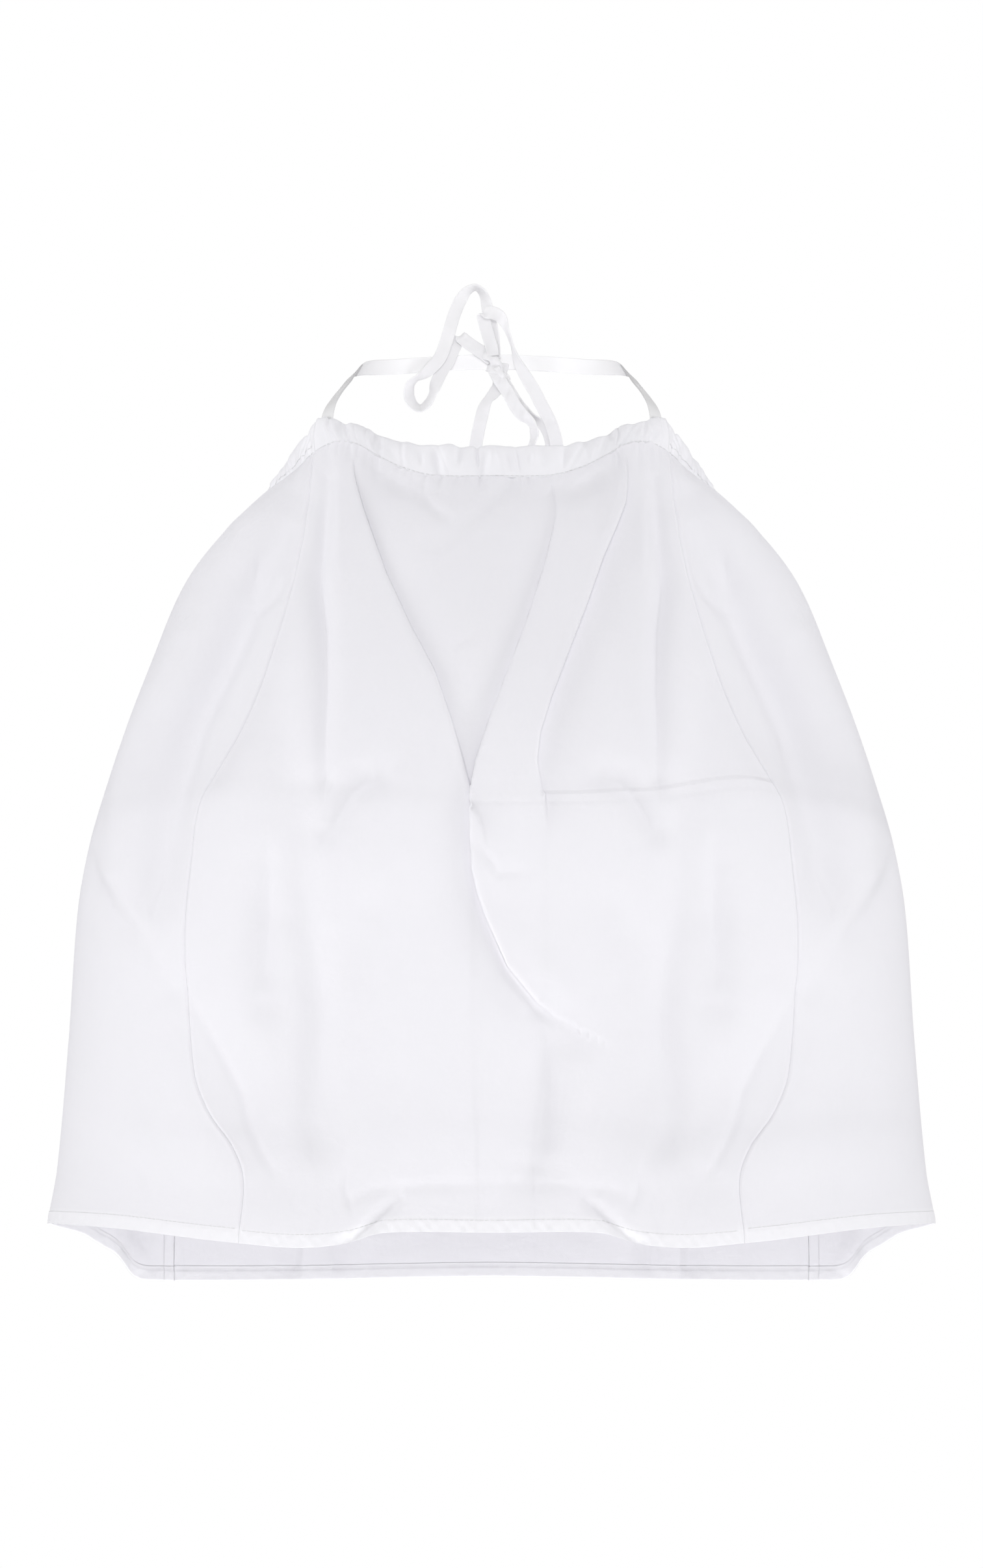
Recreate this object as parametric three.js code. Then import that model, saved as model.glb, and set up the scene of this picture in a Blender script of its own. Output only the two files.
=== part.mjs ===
import * as THREE from 'three';

// A sleeveless halter neck top with its hollow, worn form. Millimetres, +Z up, the front faces -Y.
// The origin is the middle of the neck strap at the nape.

// Driving sizes of the cloth
const clothWall = 1.2;
const hemWall = 2;
const hemDepth = 9;
const seamGap = 0.3;
const casingWall = 2.2;
const casingBelly = 0.7;
const axisFromNape = -45;

// Driving sizes of the strap and the tie
const strapWidth = 10;
const strapWall = 1;
const tapeWidth = 8.5;
const tapeWall = 1;

// Level sections of the worn form, by the drop below the nape
const bodySections = [
  { drop: 0, halfWidth: 112, front: 60, back: 40 },
  { drop: 40, halfWidth: 132, front: 76, back: 48 },
  { drop: 62, halfWidth: 149, front: 84, back: 58 },
  { drop: 84, halfWidth: 168, front: 95, back: 66 },
  { drop: 106, halfWidth: 182, front: 108, back: 76 },
  { drop: 119, halfWidth: 187.5, front: 115, back: 82 },
  { drop: 148, halfWidth: 200.5, front: 127, back: 93 },
  { drop: 190, halfWidth: 216.8, front: 141, back: 103 },
  { drop: 232, halfWidth: 233, front: 149, back: 114 },
  { drop: 274, halfWidth: 247.5, front: 152, back: 122 },
  { drop: 316, halfWidth: 260, front: 152, back: 128 },
  { drop: 358, halfWidth: 267.5, front: 150, back: 133 },
  { drop: 442, halfWidth: 273.5, front: 150, back: 139 },
  { drop: 526, halfWidth: 281, front: 154, back: 145 },
  { drop: 560, halfWidth: 287, front: 158, back: 148 },
  { drop: 612, halfWidth: 292, front: 160, back: 151 },
];

// Upper and lower edges of the casings on the right half, by the girth angle from the middle of the front
const casingEdges = [
  { angle: 0, x: 0, y: -128, drop: 62, lowX: 0, lowY: -133, lowDrop: 82 },
  { angle: 17, x: 37, y: -126, drop: 61, lowX: 37, lowY: -131, lowDrop: 81.5 },
  { angle: 27, x: 60, y: -120, drop: 58.5, lowX: 58, lowY: -125.5, lowDrop: 75.5 },
  { angle: 34, x: 76, y: -113, drop: 51.5, lowX: 73, lowY: -118.5, lowDrop: 67.5 },
  { angle: 42, x: 90, y: -105, drop: 45.5, lowX: 87, lowY: -110, lowDrop: 59.5 },
  { angle: 49, x: 102, y: -98, drop: 43, lowX: 100, lowY: -102, lowDrop: 58.5 },
  { angle: 55, x: 111, y: -90, drop: 42, lowX: 112.5, lowY: -93.5, lowDrop: 64.5 },
  { angle: 59, x: 117.5, y: -79, drop: 49.5, lowX: 118.5, lowY: -84, lowDrop: 69.5 },
  { angle: 65, x: 126.5, y: -62, drop: 60, lowX: 126, lowY: -69, lowDrop: 76 },
  { angle: 72, x: 135, y: -45, drop: 71, lowX: 138, lowY: -53, lowDrop: 85 },
  { angle: 79, x: 142, y: -29, drop: 82, lowX: 147, lowY: -36, lowDrop: 96.5 },
  { angle: 88, x: 149, y: -10, drop: 98, lowX: 155, lowY: -15, lowDrop: 112 },
  { angle: 98, x: 155, y: 12, drop: 122, lowX: 162, lowY: 9, lowDrop: 136 },
  { angle: 110, x: 152, y: 33, drop: 150, lowX: 160, lowY: 34, lowDrop: 164 },
  { angle: 124, x: 132, y: 48, drop: 174, lowX: 136, lowY: 51, lowDrop: 190 },
  { angle: 142, x: 102, y: 57, drop: 191, lowX: 105, lowY: 60.5, lowDrop: 207 },
  { angle: 160, x: 62, y: 62, drop: 202, lowX: 64, lowY: 65.5, lowDrop: 218 },
  { angle: 180, x: 0, y: 64, drop: 206, lowX: 0, lowY: 67.5, lowDrop: 222 },
];

// The long front seam and the back seam, by their girth angle at each share of the panel's length
const frontSeam = [
  { share: 0, angle: 55 },
  { share: 0.03, angle: 46.5 },
  { share: 0.08, angle: 41.3 },
  { share: 0.14, angle: 39.4 },
  { share: 0.2, angle: 38.8 },
  { share: 0.3, angle: 40 },
  { share: 0.36, angle: 41.8 },
  { share: 0.41, angle: 44.8 },
  { share: 0.45, angle: 47.4 },
  { share: 0.52, angle: 46.6 },
  { share: 0.68, angle: 45.6 },
  { share: 0.79, angle: 43.2 },
  { share: 0.84, angle: 40 },
  { share: 0.88, angle: 36 },
  { share: 0.92, angle: 33.8 },
  { share: 1, angle: 33.5 },
];
const backSeam = [
  { share: 0, angle: 132 },
  { share: 0.5, angle: 131 },
  { share: 1, angle: 133.5 },
];

// The hem's drop below the nape, by girth angle
const hemLine = [
  { angle: 0, drop: 556 },
  { angle: 13.5, drop: 556.5 },
  { angle: 18.5, drop: 563.5 },
  { angle: 25, drop: 566.5 },
  { angle: 33.5, drop: 564.5 },
  { angle: 55, drop: 558.5 },
  { angle: 75, drop: 559 },
  { angle: 90, drop: 561.5 },
  { angle: 101, drop: 566 },
  { angle: 111, drop: 572 },
  { angle: 116.5, drop: 580 },
  { angle: 121, drop: 588 },
  { angle: 125.5, drop: 603 },
  { angle: 131, drop: 606.5 },
  { angle: 152, drop: 609 },
  { angle: 180, drop: 608 },
];

// Main folds as lines on the cloth, x and drop: lift is in or out at the line, and the two widths say how
// far it reaches to the line's left and right, seen from outside with the line running down
const folds = [
  {
    name: 'crossing fold from the left', mirrored: false, front: true, lift: -6, left: 17, right: 4.5,
    line: [[-92, 68], [-86, 88], [-76, 123], [-65, 151], [-45, 194], [-27, 236], [-16, 270], [-15, 315],
      [2, 370], [18, 401], [35, 422], [52, 431]],
  },
  {
    name: 'crossing fold from the right', mirrored: false, front: true, lift: -4.5, left: 13, right: 4.5,
    line: [[42, 110], [33, 136], [19, 181], [6, 218], [-7, 252], [-14, 279]],
  },
  {
    name: 'soft fold from the right neck corner', mirrored: false, front: true, lift: -4, left: 9, right: 12,
    line: [[90, 70], [82, 103], [68, 139], [48, 187], [35, 219], [30, 239], [31, 272]],
  },
  {
    name: 'hollow under the crossing', mirrored: false, front: true, lift: -4.5, left: 15, right: 13,
    line: [[36, 428], [33, 466], [30, 512]],
  },
  {
    name: 'upright hollow beside the seam', mirrored: true, front: true, lift: -3.5, left: 8, right: 9,
    line: [[103, 84], [106, 116], [111, 144], [106, 177], [105, 199], [105, 275]],
  },
  {
    name: 'crescent under the bust', mirrored: true, front: true, lift: -3.5, left: 8, right: 8,
    line: [[71, 272], [82, 275], [90, 281], [97, 294], [103, 306]],
  },
  {
    name: 'outer upright hollow', mirrored: true, front: true, lift: -2.5, left: 12, right: 12,
    line: [[144, 330], [144, 372], [143, 413]],
  },
  {
    name: 'inner upright hollow', mirrored: true, front: true, lift: -2.5, left: 11, right: 11,
    line: [[117, 279], [116, 350], [111, 418], [113, 500]],
  },
  {
    name: 'low slanting fold', mirrored: true, front: true, lift: -7, left: 11, right: 14,
    line: [[196, 410], [187, 427], [174, 448], [160, 472], [154, 492], [146, 507], [138, 520]],
  },
  {
    name: 'long hollow of the side', mirrored: true, front: true, lift: -6, left: 9, right: 10,
    line: [[128, 95], [142, 130], [159, 167], [177, 204], [196, 244], [205, 290]],
  },
  {
    name: 'underarm fold', mirrored: true, front: true, lift: -5, left: 8, right: 8,
    line: [[262, 325], [256, 341], [247, 356], [234, 369]],
  },
  {
    name: 'back hollow below the casing', mirrored: true, front: false, lift: -4, left: 15, right: 15,
    line: [[58, 225], [70, 330], [84, 470], [100, 604]],
  },
  {
    name: 'back pleat', mirrored: true, front: false, lift: -5, left: 12, right: 10,
    line: [[122, 400], [128, 500], [131, 606]],
  },
  {
    name: 'back side hollow', mirrored: true, front: false, lift: -5, left: 14, right: 14,
    line: [[150, 200], [176, 300], [196, 400], [205, 500]],
  },
];

// Share of the panel's length in which the cloth swells from the casing to the worn form, and how fast
const blendShare = 0.17;
const blendPower = 6;

// A fold's ends keep this share of its length for their rise, its hollow thins with this power towards them,
// and it fades out at so many times its reach
const foldEnds = 0.06;
const foldTaper = 0.4;
const foldFade = 3;

// Grid of the panels: rows down from the casing, and columns across each panel
const panelLength = 500;
const plainRows = 21;
const rowCrowding = 1.3;
const frontColumns = 36;
const sideColumns = 15;
const backColumns = 26;
const gatherSteps = 3;

// Small steps across a panel that find the cloth's slope and the way into the panel at a seam
const slopeStep = 0.004;
const seamStep = 0.01;

// Gathers of the casings: waves along the panel columns, and how far they move the face and the rim
const gatherWaves = [
  { weight: 0.55, rate: 0.72, start: 0 },
  { weight: 0.3, rate: 0.445, start: 1.1 },
  { weight: 0.15, rate: 0.986, start: 2.3 },
];
const gatherRise = 1.1;
const gatherEase = 3;
const rimRise = 0.9;
const rimGather = 0.66;
const rimShift = 0.4;
const rimWall = 1.65;

// The neck strap from behind the right front corner to the nape, with the way its outer face looks
const strapRoute = [
  { x: 105.4, y: -94.2, drop: 56, nx: 0.62, ny: -0.77, nz: 0.1 },
  { x: 105.4, y: -93.8, drop: 49, nx: 0.62, ny: -0.77, nz: 0.1 },
  { x: 105.2, y: -92.3, drop: 42, nx: 0.64, ny: -0.74, nz: 0.2 },
  { x: 103.6, y: -87.6, drop: 35, nx: 0.66, ny: -0.55, nz: 0.5 },
  { x: 99.6, y: -76, drop: 27, nx: 0.62, ny: -0.2, nz: 0.75 },
  { x: 94, y: -60, drop: 18.5, nx: 0.62, ny: -0.2, nz: 0.75 },
  { x: 88.8, y: -46.5, drop: 10.5, nx: 0.72, ny: -0.08, nz: 0.69 },
  { x: 83, y: -36.5, drop: 6.8, nx: 0.83, ny: 0.3, nz: 0.45 },
  { x: 75.5, y: -26.5, drop: 5.4, nx: 0.72, ny: 0.66, nz: 0.18 },
  { x: 62, y: -13.5, drop: 4, nx: 0.48, ny: 0.87, nz: 0.06 },
  { x: 41, y: -4.6, drop: 1.9, nx: 0.28, ny: 0.96, nz: 0 },
  { x: 20, y: -1, drop: 0.5, nx: 0.12, ny: 0.99, nz: 0 },
];
const strapSteps = 3;

// Strands of the tie, from the knot outward: across is the angle of the tape's width from +X towards +Z,
// and lean turns that width towards the front
const tieStrands = {
  tie_left_loop: [
    { x: -6, y: -3.4, z: 6, across: 57, lean: 0 },
    { x: -11.4, y: -5, z: 9.4, across: 55, lean: 0 },
    { x: -15.8, y: -6.2, z: 12.4, across: 50, lean: 0 },
    { x: -19.6, y: -6.6, z: 15.4, across: 38, lean: 0 },
    { x: -21.2, y: -5.4, z: 15.9, across: 20, lean: 0 },
    { x: -22.4, y: -4.8, z: 13.2, across: -8, lean: 0 },
    { x: -24.8, y: -4.8, z: 8, across: -20, lean: 0 },
    { x: -28, y: -5, z: 1.1, across: -24, lean: 0 },
    { x: -32.3, y: -5.4, z: -6.1, across: -24, lean: 0 },
    { x: -35.7, y: -5.6, z: -13.4, across: -25, lean: 12 },
    { x: -38.4, y: -5.8, z: -20.6, across: -28, lean: 58 },
    { x: -41.8, y: -6.2, z: -27.2, across: -50, lean: 48 },
    { x: -46.3, y: -6.8, z: -30.8, across: -88, lean: 50 },
    { x: -50.8, y: -7.4, z: -29.2, across: -128, lean: 45 },
    { x: -53.6, y: -7.6, z: -24.5, across: -165, lean: 36 },
    { x: -54, y: -8, z: -19.5, across: -186, lean: 38 },
    { x: -52.6, y: -8.2, z: -14.8, across: -207, lean: 52 },
    { x: -48.9, y: -8.2, z: -11.3, across: -224, lean: 72 },
    { x: -44.5, y: -8.2, z: -8.4, across: -224, lean: 48 },
    { x: -39.5, y: -8.2, z: -4.3, across: -222, lean: 16 },
    { x: -34, y: -8.2, z: 2, across: -212, lean: 5 },
    { x: -30.6, y: -8.2, z: 10, across: -203, lean: 0 },
    { x: -28, y: -8.2, z: 18.1, across: -198, lean: 0 },
    { x: -26, y: -8.2, z: 25.3, across: -198, lean: 5 },
    { x: -23.4, y: -8.2, z: 33, across: -201, lean: 10 },
    { x: -19.6, y: -8, z: 41.1, across: -214, lean: 26 },
    { x: -15.6, y: -7.6, z: 46.2, across: -236, lean: 50 },
    { x: -10.2, y: -7, z: 48.3, across: -270, lean: 62 },
    { x: -6.4, y: -6.2, z: 45.7, across: -305, lean: 55 },
    { x: -4.2, y: -5.2, z: 41.4, across: -330, lean: 48 },
    { x: -2.8, y: -4.2, z: 35.6, across: -338, lean: 34 },
    { x: -1, y: -3.4, z: 27.4, across: -343, lean: 14 },
    { x: 0.8, y: -2.9, z: 18.4, across: -343, lean: 4 },
    { x: 2.6, y: -2.6, z: 8.7, across: -343, lean: 0 },
  ],
  tie_right_loop: [
    { x: 0.8, y: -4.8, z: 3.5, across: 17, lean: 0 },
    { x: 0, y: -4.9, z: 9.6, across: 17, lean: 0 },
    { x: -2.1, y: -5.4, z: 16.6, across: 17, lean: 0 },
    { x: -4, y: -6.6, z: 23.4, across: 18, lean: 0 },
    { x: -5.4, y: -8, z: 29, across: 26, lean: 0 },
    { x: -5.2, y: -9.6, z: 31.6, across: 42, lean: 0 },
    { x: -2.6, y: -11, z: 31.8, across: 58, lean: 0 },
    { x: 1.6, y: -11.6, z: 31.2, across: 64, lean: 6 },
    { x: 5.4, y: -11.6, z: 29.2, across: 56, lean: 24 },
    { x: 8.2, y: -11.2, z: 25.4, across: 38, lean: 50 },
    { x: 10.6, y: -10.6, z: 19, across: 24, lean: 74 },
    { x: 13.6, y: -9.4, z: 9.2, across: 20, lean: 82 },
    { x: 16.4, y: -8.4, z: 1.6, across: 24, lean: 64 },
    { x: 20, y: -7.8, z: -5.6, across: 27, lean: 34 },
    { x: 24, y: -7.4, z: -12.7, across: 28, lean: 14 },
    { x: 28.5, y: -7.2, z: -20.2, across: 28, lean: 0 },
    { x: 32.6, y: -7, z: -28.4, across: 26, lean: 0 },
    { x: 36.8, y: -6.8, z: -36.4, across: 25, lean: 0 },
    { x: 40.2, y: -6.6, z: -44.5, across: 22, lean: 4 },
    { x: 42.6, y: -6.2, z: -54, across: 14, lean: 8 },
    { x: 44, y: -5.4, z: -68, across: 6, lean: 8 },
    { x: 44.6, y: -4.4, z: -84, across: 2, lean: 4 },
    { x: 45, y: -3.6, z: -98, across: 0, lean: 0 },
  ],
  tie_left_feed: [
    { x: 1.2, y: -4.8, z: -4.5, across: 28, lean: 0 },
    { x: 4.4, y: -4.9, z: -10.8, across: 28, lean: 0 },
    { x: 7, y: -5, z: -14.8, across: 29, lean: 4 },
    { x: 10, y: -5.2, z: -19.2, across: 30, lean: 0 },
    { x: 12.9, y: -5.2, z: -24.2, across: 30, lean: 0 },
    { x: 15.9, y: -5.2, z: -29.6, across: 34, lean: 0 },
    { x: 19.8, y: -5.2, z: -34.4, across: 45, lean: 12 },
    { x: 24, y: -5, z: -38, across: 46, lean: 42 },
    { x: 27.2, y: -4.6, z: -42, across: 20, lean: 66 },
    { x: 28.2, y: -3.6, z: -46.6, across: 2, lean: 52 },
    { x: 27.4, y: -2, z: -51.6, across: -8, lean: 66 },
    { x: 26, y: 1, z: -58, across: -6, lean: 52 },
    { x: 22.4, y: 8, z: -74, across: 0, lean: 24 },
    { x: 16, y: 19.6, z: -100, across: 0, lean: 6 },
    { x: 7.6, y: 33.8, z: -132, across: 0, lean: 0 },
    { x: -0.6, y: 46.8, z: -162, across: 0, lean: 0 },
    { x: -6.4, y: 57, z: -188, across: 0, lean: 0 },
    { x: -9, y: 62.2, z: -212, across: 0, lean: 0 },
  ],
  tie_right_feed: [
    { x: 5, y: -3, z: -8.8, across: 28, lean: 0 },
    { x: 9, y: -3.4, z: -15.2, across: 29, lean: 0 },
    { x: 12, y: -3.6, z: -20, across: 30, lean: 0 },
    { x: 15.2, y: -3.6, z: -25.2, across: 31, lean: 0 },
    { x: 18.8, y: -3.6, z: -30.2, across: 35, lean: 0 },
    { x: 23.2, y: -3.2, z: -34.4, across: 42, lean: 22 },
    { x: 27.8, y: -2.6, z: -37.6, across: 48, lean: 56 },
    { x: 32, y: -2.2, z: -40.6, across: 46, lean: 52 },
    { x: 35.6, y: -1.8, z: -44.2, across: 34, lean: 36 },
    { x: 38, y: -1, z: -49, across: 22, lean: 24 },
    { x: 39.4, y: 0.6, z: -55, across: 12, lean: 20 },
    { x: 38.4, y: 5, z: -66, across: 4, lean: 16 },
    { x: 34.6, y: 13.6, z: -86, across: 0, lean: 8 },
    { x: 28.6, y: 24, z: -110, across: 0, lean: 2 },
    { x: 21.4, y: 36.4, z: -138, across: 0, lean: 0 },
    { x: 14.6, y: 48.4, z: -166, across: 0, lean: 0 },
    { x: 10.6, y: 57.2, z: -188.6, across: 0, lean: 0 },
    { x: 9, y: 62.2, z: -212, across: 0, lean: 0 },
  ],
  tie_left_tail: [
    { x: 4.6, y: -0.4, z: -7.65, across: 10, lean: 0 },
    { x: 4.8, y: -0.6, z: -15.4, across: -8, lean: 4 },
    { x: 1.8, y: 0, z: -20, across: -34, lean: 22 },
    { x: -2, y: 0, z: -24.2, across: -34, lean: 52 },
    { x: -4.5, y: -0.2, z: -29, across: -20, lean: 32 },
    { x: -6, y: -0.4, z: -34, across: -15, lean: 6 },
    { x: -7.4, y: -0.6, z: -39.6, across: -12, lean: 0 },
    { x: -9, y: -0.6, z: -47, across: -12, lean: 0 },
    { x: -10.3, y: -0.4, z: -55, across: -11, lean: 0 },
    { x: -11.2, y: 0.4, z: -68, across: -7, lean: 0 },
    { x: -11.8, y: 1.8, z: -84, across: -4, lean: 0 },
    { x: -12, y: 2.8, z: -98, across: -2, lean: 0 },
  ],
};
const strandSteps = 2;

// The knot: a band round the strap, thicker in front
const knot = {
  x: 1,
  width: 8.5,
  innerDepth: 0.95,
  innerHeight: 5.6,
  frontDepth: 3.9,
  backDepth: 2.3,
  height: 7.1,
};
const knotSides = 24;
const knotRounding = 0.6;

const radians = THREE.MathUtils.degToRad;
const mix = THREE.MathUtils.lerp;

// Smooth reading of one named column of a table
function readTable(rows, along, at, column) {
  const last = rows.length - 1;
  const place = Math.min(Math.max(at, rows[0][along]), rows[last][along]);
  let i = 0;
  while (i < last - 1 && place > rows[i + 1][along]) {
    i += 1;
  }
  const slope = (k) => {
    const before = rows[Math.max(k - 1, 0)];
    const after = rows[Math.min(k + 1, last)];
    return (after[column] - before[column]) / (after[along] - before[along]);
  };
  const span = rows[i + 1][along] - rows[i][along];
  const t = (place - rows[i][along]) / span;
  const t2 = t * t;
  const t3 = t2 * t;
  return (2 * t3 - 3 * t2 + 1) * rows[i][column] + (t3 - 2 * t2 + t) * span * slope(i)
    + (3 * t2 - 2 * t3) * rows[i + 1][column] + (t3 - t2) * span * slope(i + 1);
}

// Height and place of the worn form at a girth angle and a drop
function formPoint(angle, drop) {
  const turn = radians(angle);
  const halfWidth = readTable(bodySections, 'drop', drop, 'halfWidth');
  const depth = readTable(bodySections, 'drop', drop, Math.cos(turn) > 0 ? 'front' : 'back');
  return new THREE.Vector3(halfWidth * Math.sin(turn), axisFromNape - depth * Math.cos(turn), -drop);
}

// The way out of the form at a point, level with the ground
function outward(point, drop) {
  const halfWidth = readTable(bodySections, 'drop', drop, 'halfWidth');
  const behind = point.y - axisFromNape;
  const depth = readTable(bodySections, 'drop', drop, behind < 0 ? 'front' : 'back');
  return new THREE.Vector3(point.x / (halfWidth * halfWidth), behind / (depth * depth), 0).normalize();
}

// Distance from a fold's line in x and drop, which side of it, and how far along it the nearest place is
function nearFold(line, x, drop) {
  let best = { distance: Infinity, side: 1, along: 0 };
  for (let i = 0; i < line.length - 1; i += 1) {
    const [ax, ad] = line[i];
    const [bx, bd] = line[i + 1];
    const length = Math.hypot(bx - ax, bd - ad);
    const t = Math.min(Math.max(((x - ax) * (bx - ax) + (drop - ad) * (bd - ad)) / (length * length), 0), 1);
    const distance = Math.hypot(x - mix(ax, bx, t), drop - mix(ad, bd, t));
    if (distance < best.distance) {
      const cross = (bx - ax) * (drop - ad) - (bd - ad) * (x - ax);
      best = { distance, side: cross > 0 ? -1 : 1, along: (i + t) / (line.length - 1) };
    }
  }
  return best;
}

// How far the folds lift the cloth off the worn form
function foldLift(point) {
  const drop = -point.z;
  const front = point.y < axisFromNape;
  let lift = 0;
  for (const fold of folds) {
    if (fold.front !== front) {
      continue;
    }
    const x = fold.mirrored ? Math.abs(point.x) : point.x;
    const near = nearFold(fold.line, x, drop);
    const reach = near.side < 0 ? fold.left : fold.right;
    const taper = Math.sin(Math.PI * Math.min(Math.max(near.along, foldEnds), 1 - foldEnds)) ** foldTaper;
    const spread = near.distance / reach;
    if (spread < foldFade) {
      lift += fold.lift * taper * Math.exp(-spread * spread);
    }
  }
  return lift;
}

// A place on the casing's upper or lower edge; the left half is the right half's mirror image
function edgePoint(angle, columns) {
  const side = angle < 0 ? -1 : 1;
  const [x, y, drop] = columns.map((column) => readTable(casingEdges, 'angle', Math.abs(angle), column));
  return new THREE.Vector3(side * x, y, -drop);
}

// The casing's frame: its upper and lower edge, the way down its face, and the way out of it
function casingFrame(angle) {
  const edge = edgePoint(angle, ['x', 'y', 'drop']);
  const low = edgePoint(angle, ['lowX', 'lowY', 'lowDrop']);
  const before = edgePoint(angle - 1, ['lowX', 'lowY', 'lowDrop']);
  const after = edgePoint(angle + 1, ['lowX', 'lowY', 'lowDrop']);
  const along = after.sub(before).normalize();
  if (Math.abs(angle) > 179) {
    along.set(-1, 0, 0);
  }
  const down = low.clone().sub(edge).normalize();
  const out = down.clone().cross(along).normalize();
  return { edge, low, down, out };
}

// Rows of a panel from the casing to the hem: closer rows under the casing, then a step to the thicker hem
function panelRows() {
  const hemShare = 1 - hemDepth / panelLength;
  const rows = [];
  for (let row = 0; row <= plainRows; row += 1) {
    rows.push({ share: hemShare * (row / plainRows) ** rowCrowding, wall: clothWall });
  }
  rows.push({ share: hemShare + seamGap / panelLength, wall: hemWall });
  rows.push({ share: 1, wall: hemWall });
  return rows;
}

// The middle surface of the cloth, from a casing angle and a girth angle, at a share of the way down
function clothPoint(casingAngle, girthAngle, hemAngle, share) {
  const frame = casingFrame(casingAngle);
  const start = frame.low.clone().addScaledVector(frame.down, seamGap);
  const hemDrop = readTable(hemLine, 'angle', Math.abs(hemAngle), 'drop');
  const drop = mix(-start.z, hemDrop, share);
  const pull = start.clone().sub(formPoint(casingAngle, -start.z));
  const hold = Math.max(1 - share / blendShare, 0) ** blendPower;
  const point = formPoint(girthAngle, drop);
  const lift = foldLift(point) * (1 - hold);
  const out = outward(point, drop);
  point.addScaledVector(pull, hold).addScaledVector(out, lift);
  return point;
}

// The panels, by the girth angles of their two edges at each share of the way down
const panels = {
  front_panel: {
    columns: frontColumns,
    previous: 'side_panel_left',
    next: 'side_panel_right',
    edges: (share) => {
      const seam = readTable(frontSeam, 'share', share, 'angle');
      return [-seam, seam];
    },
  },
  side_panel_right: {
    columns: sideColumns,
    previous: 'front_panel',
    next: 'back_panel',
    edges: (share) => [
      readTable(frontSeam, 'share', share, 'angle'),
      readTable(backSeam, 'share', share, 'angle'),
    ],
  },
  back_panel: {
    columns: backColumns,
    previous: 'side_panel_right',
    next: 'side_panel_left',
    edges: (share) => {
      const seam = readTable(backSeam, 'share', share, 'angle');
      return [seam, 360 - seam];
    },
  },
  side_panel_left: {
    columns: sideColumns,
    previous: 'back_panel',
    next: 'front_panel',
    edges: (share) => [
      -readTable(backSeam, 'share', share, 'angle'),
      -readTable(frontSeam, 'share', share, 'angle'),
    ],
  },
};

// Angles past the middle of the back count from the other side
function wrapped(angle) {
  return angle > 180 ? angle - 360 : angle;
}

// A place on a panel, across it and at a share of the way down
function panelPoint(panel, across, share) {
  const angles = [0, share, 1].map((at) => {
    const [from, to] = panel.edges(at);
    return wrapped(mix(from, to, across));
  });
  return clothPoint(angles[0], angles[1], angles[2], share);
}

// A closed body from rows of points on its outer face and its inner face
function solidFromFaces(outer, inner) {
  const rows = outer.length;
  const columns = outer[0].length;
  const positions = [];
  const index = [];
  for (const face of [outer, inner]) {
    for (const row of face) {
      for (const point of row) {
        positions.push(point.x, point.y, point.z);
      }
    }
  }
  const at = (face, row, column) => face * rows * columns + row * columns + column;
  const quad = (a, b, c, d) => index.push(a, b, c, a, c, d);
  for (let r = 0; r < rows - 1; r += 1) {
    for (let c = 0; c < columns - 1; c += 1) {
      quad(at(0, r, c), at(0, r + 1, c), at(0, r + 1, c + 1), at(0, r, c + 1));
      quad(at(1, r, c), at(1, r, c + 1), at(1, r + 1, c + 1), at(1, r + 1, c));
    }
  }
  for (let c = 0; c < columns - 1; c += 1) {
    quad(at(0, 0, c), at(0, 0, c + 1), at(1, 0, c + 1), at(1, 0, c));
    quad(at(0, rows - 1, c + 1), at(0, rows - 1, c), at(1, rows - 1, c), at(1, rows - 1, c + 1));
  }
  for (let r = 0; r < rows - 1; r += 1) {
    quad(at(0, r + 1, 0), at(0, r, 0), at(1, r, 0), at(1, r + 1, 0));
    quad(at(0, r, columns - 1), at(0, r + 1, columns - 1), at(1, r + 1, columns - 1), at(1, r, columns - 1));
  }
  return meshGeometry(positions, index);
}

// A mesh from its points and the corners of its triangles
function meshGeometry(positions, index) {
  const geometry = new THREE.BufferGeometry();
  geometry.setAttribute('position', new THREE.Float32BufferAttribute(positions, 3));
  geometry.setIndex(index);
  geometry.computeVertexNormals();
  return geometry;
}

// One panel of cloth: the wall stands half on each side of its middle surface, and the two panels at a seam
// share the way out there
function panelGeometry(panel) {
  const outer = [];
  const inner = [];
  for (const { share, wall } of panelRows()) {
    const outerRow = [];
    const innerRow = [];
    for (let column = 0; column <= panel.columns; column += 1) {
      const across = column / panel.columns;
      const point = panelPoint(panel, across, share);
      const normal = panelNormal(panel, across, share);
      if (column === 0 || column === panel.columns) {
        const beyond = column ? panels[panel.next] : panels[panel.previous];
        normal.add(panelNormal(beyond, column ? 0 : 1, share)).normalize();
        const beside = panelPoint(panel, across + (column ? -seamStep : seamStep), share);
        point.addScaledVector(beside.sub(point).normalize(), seamGap / 2);
      }
      outerRow.push(point.clone().addScaledVector(normal, wall / 2));
      innerRow.push(point.clone().addScaledVector(normal, -wall / 2));
    }
    outer.push(outerRow);
    inner.push(innerRow);
  }
  return solidFromFaces(outer, inner);
}

// The way out of the cloth: along the casing's face at the top, and square to the cloth elsewhere
function panelNormal(panel, across, share) {
  if (share === 0) {
    const [from, to] = panel.edges(0);
    return casingFrame(wrapped(mix(from, to, across))).out;
  }
  const left = panelPoint(panel, across - slopeStep, share);
  const right = panelPoint(panel, across + slopeStep, share);
  const above = panelPoint(panel, across, Math.max(share - slopeStep, 0));
  const below = panelPoint(panel, across, Math.min(share + slopeStep, 1));
  return right.sub(left).cross(above.sub(below)).normalize();
}

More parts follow.
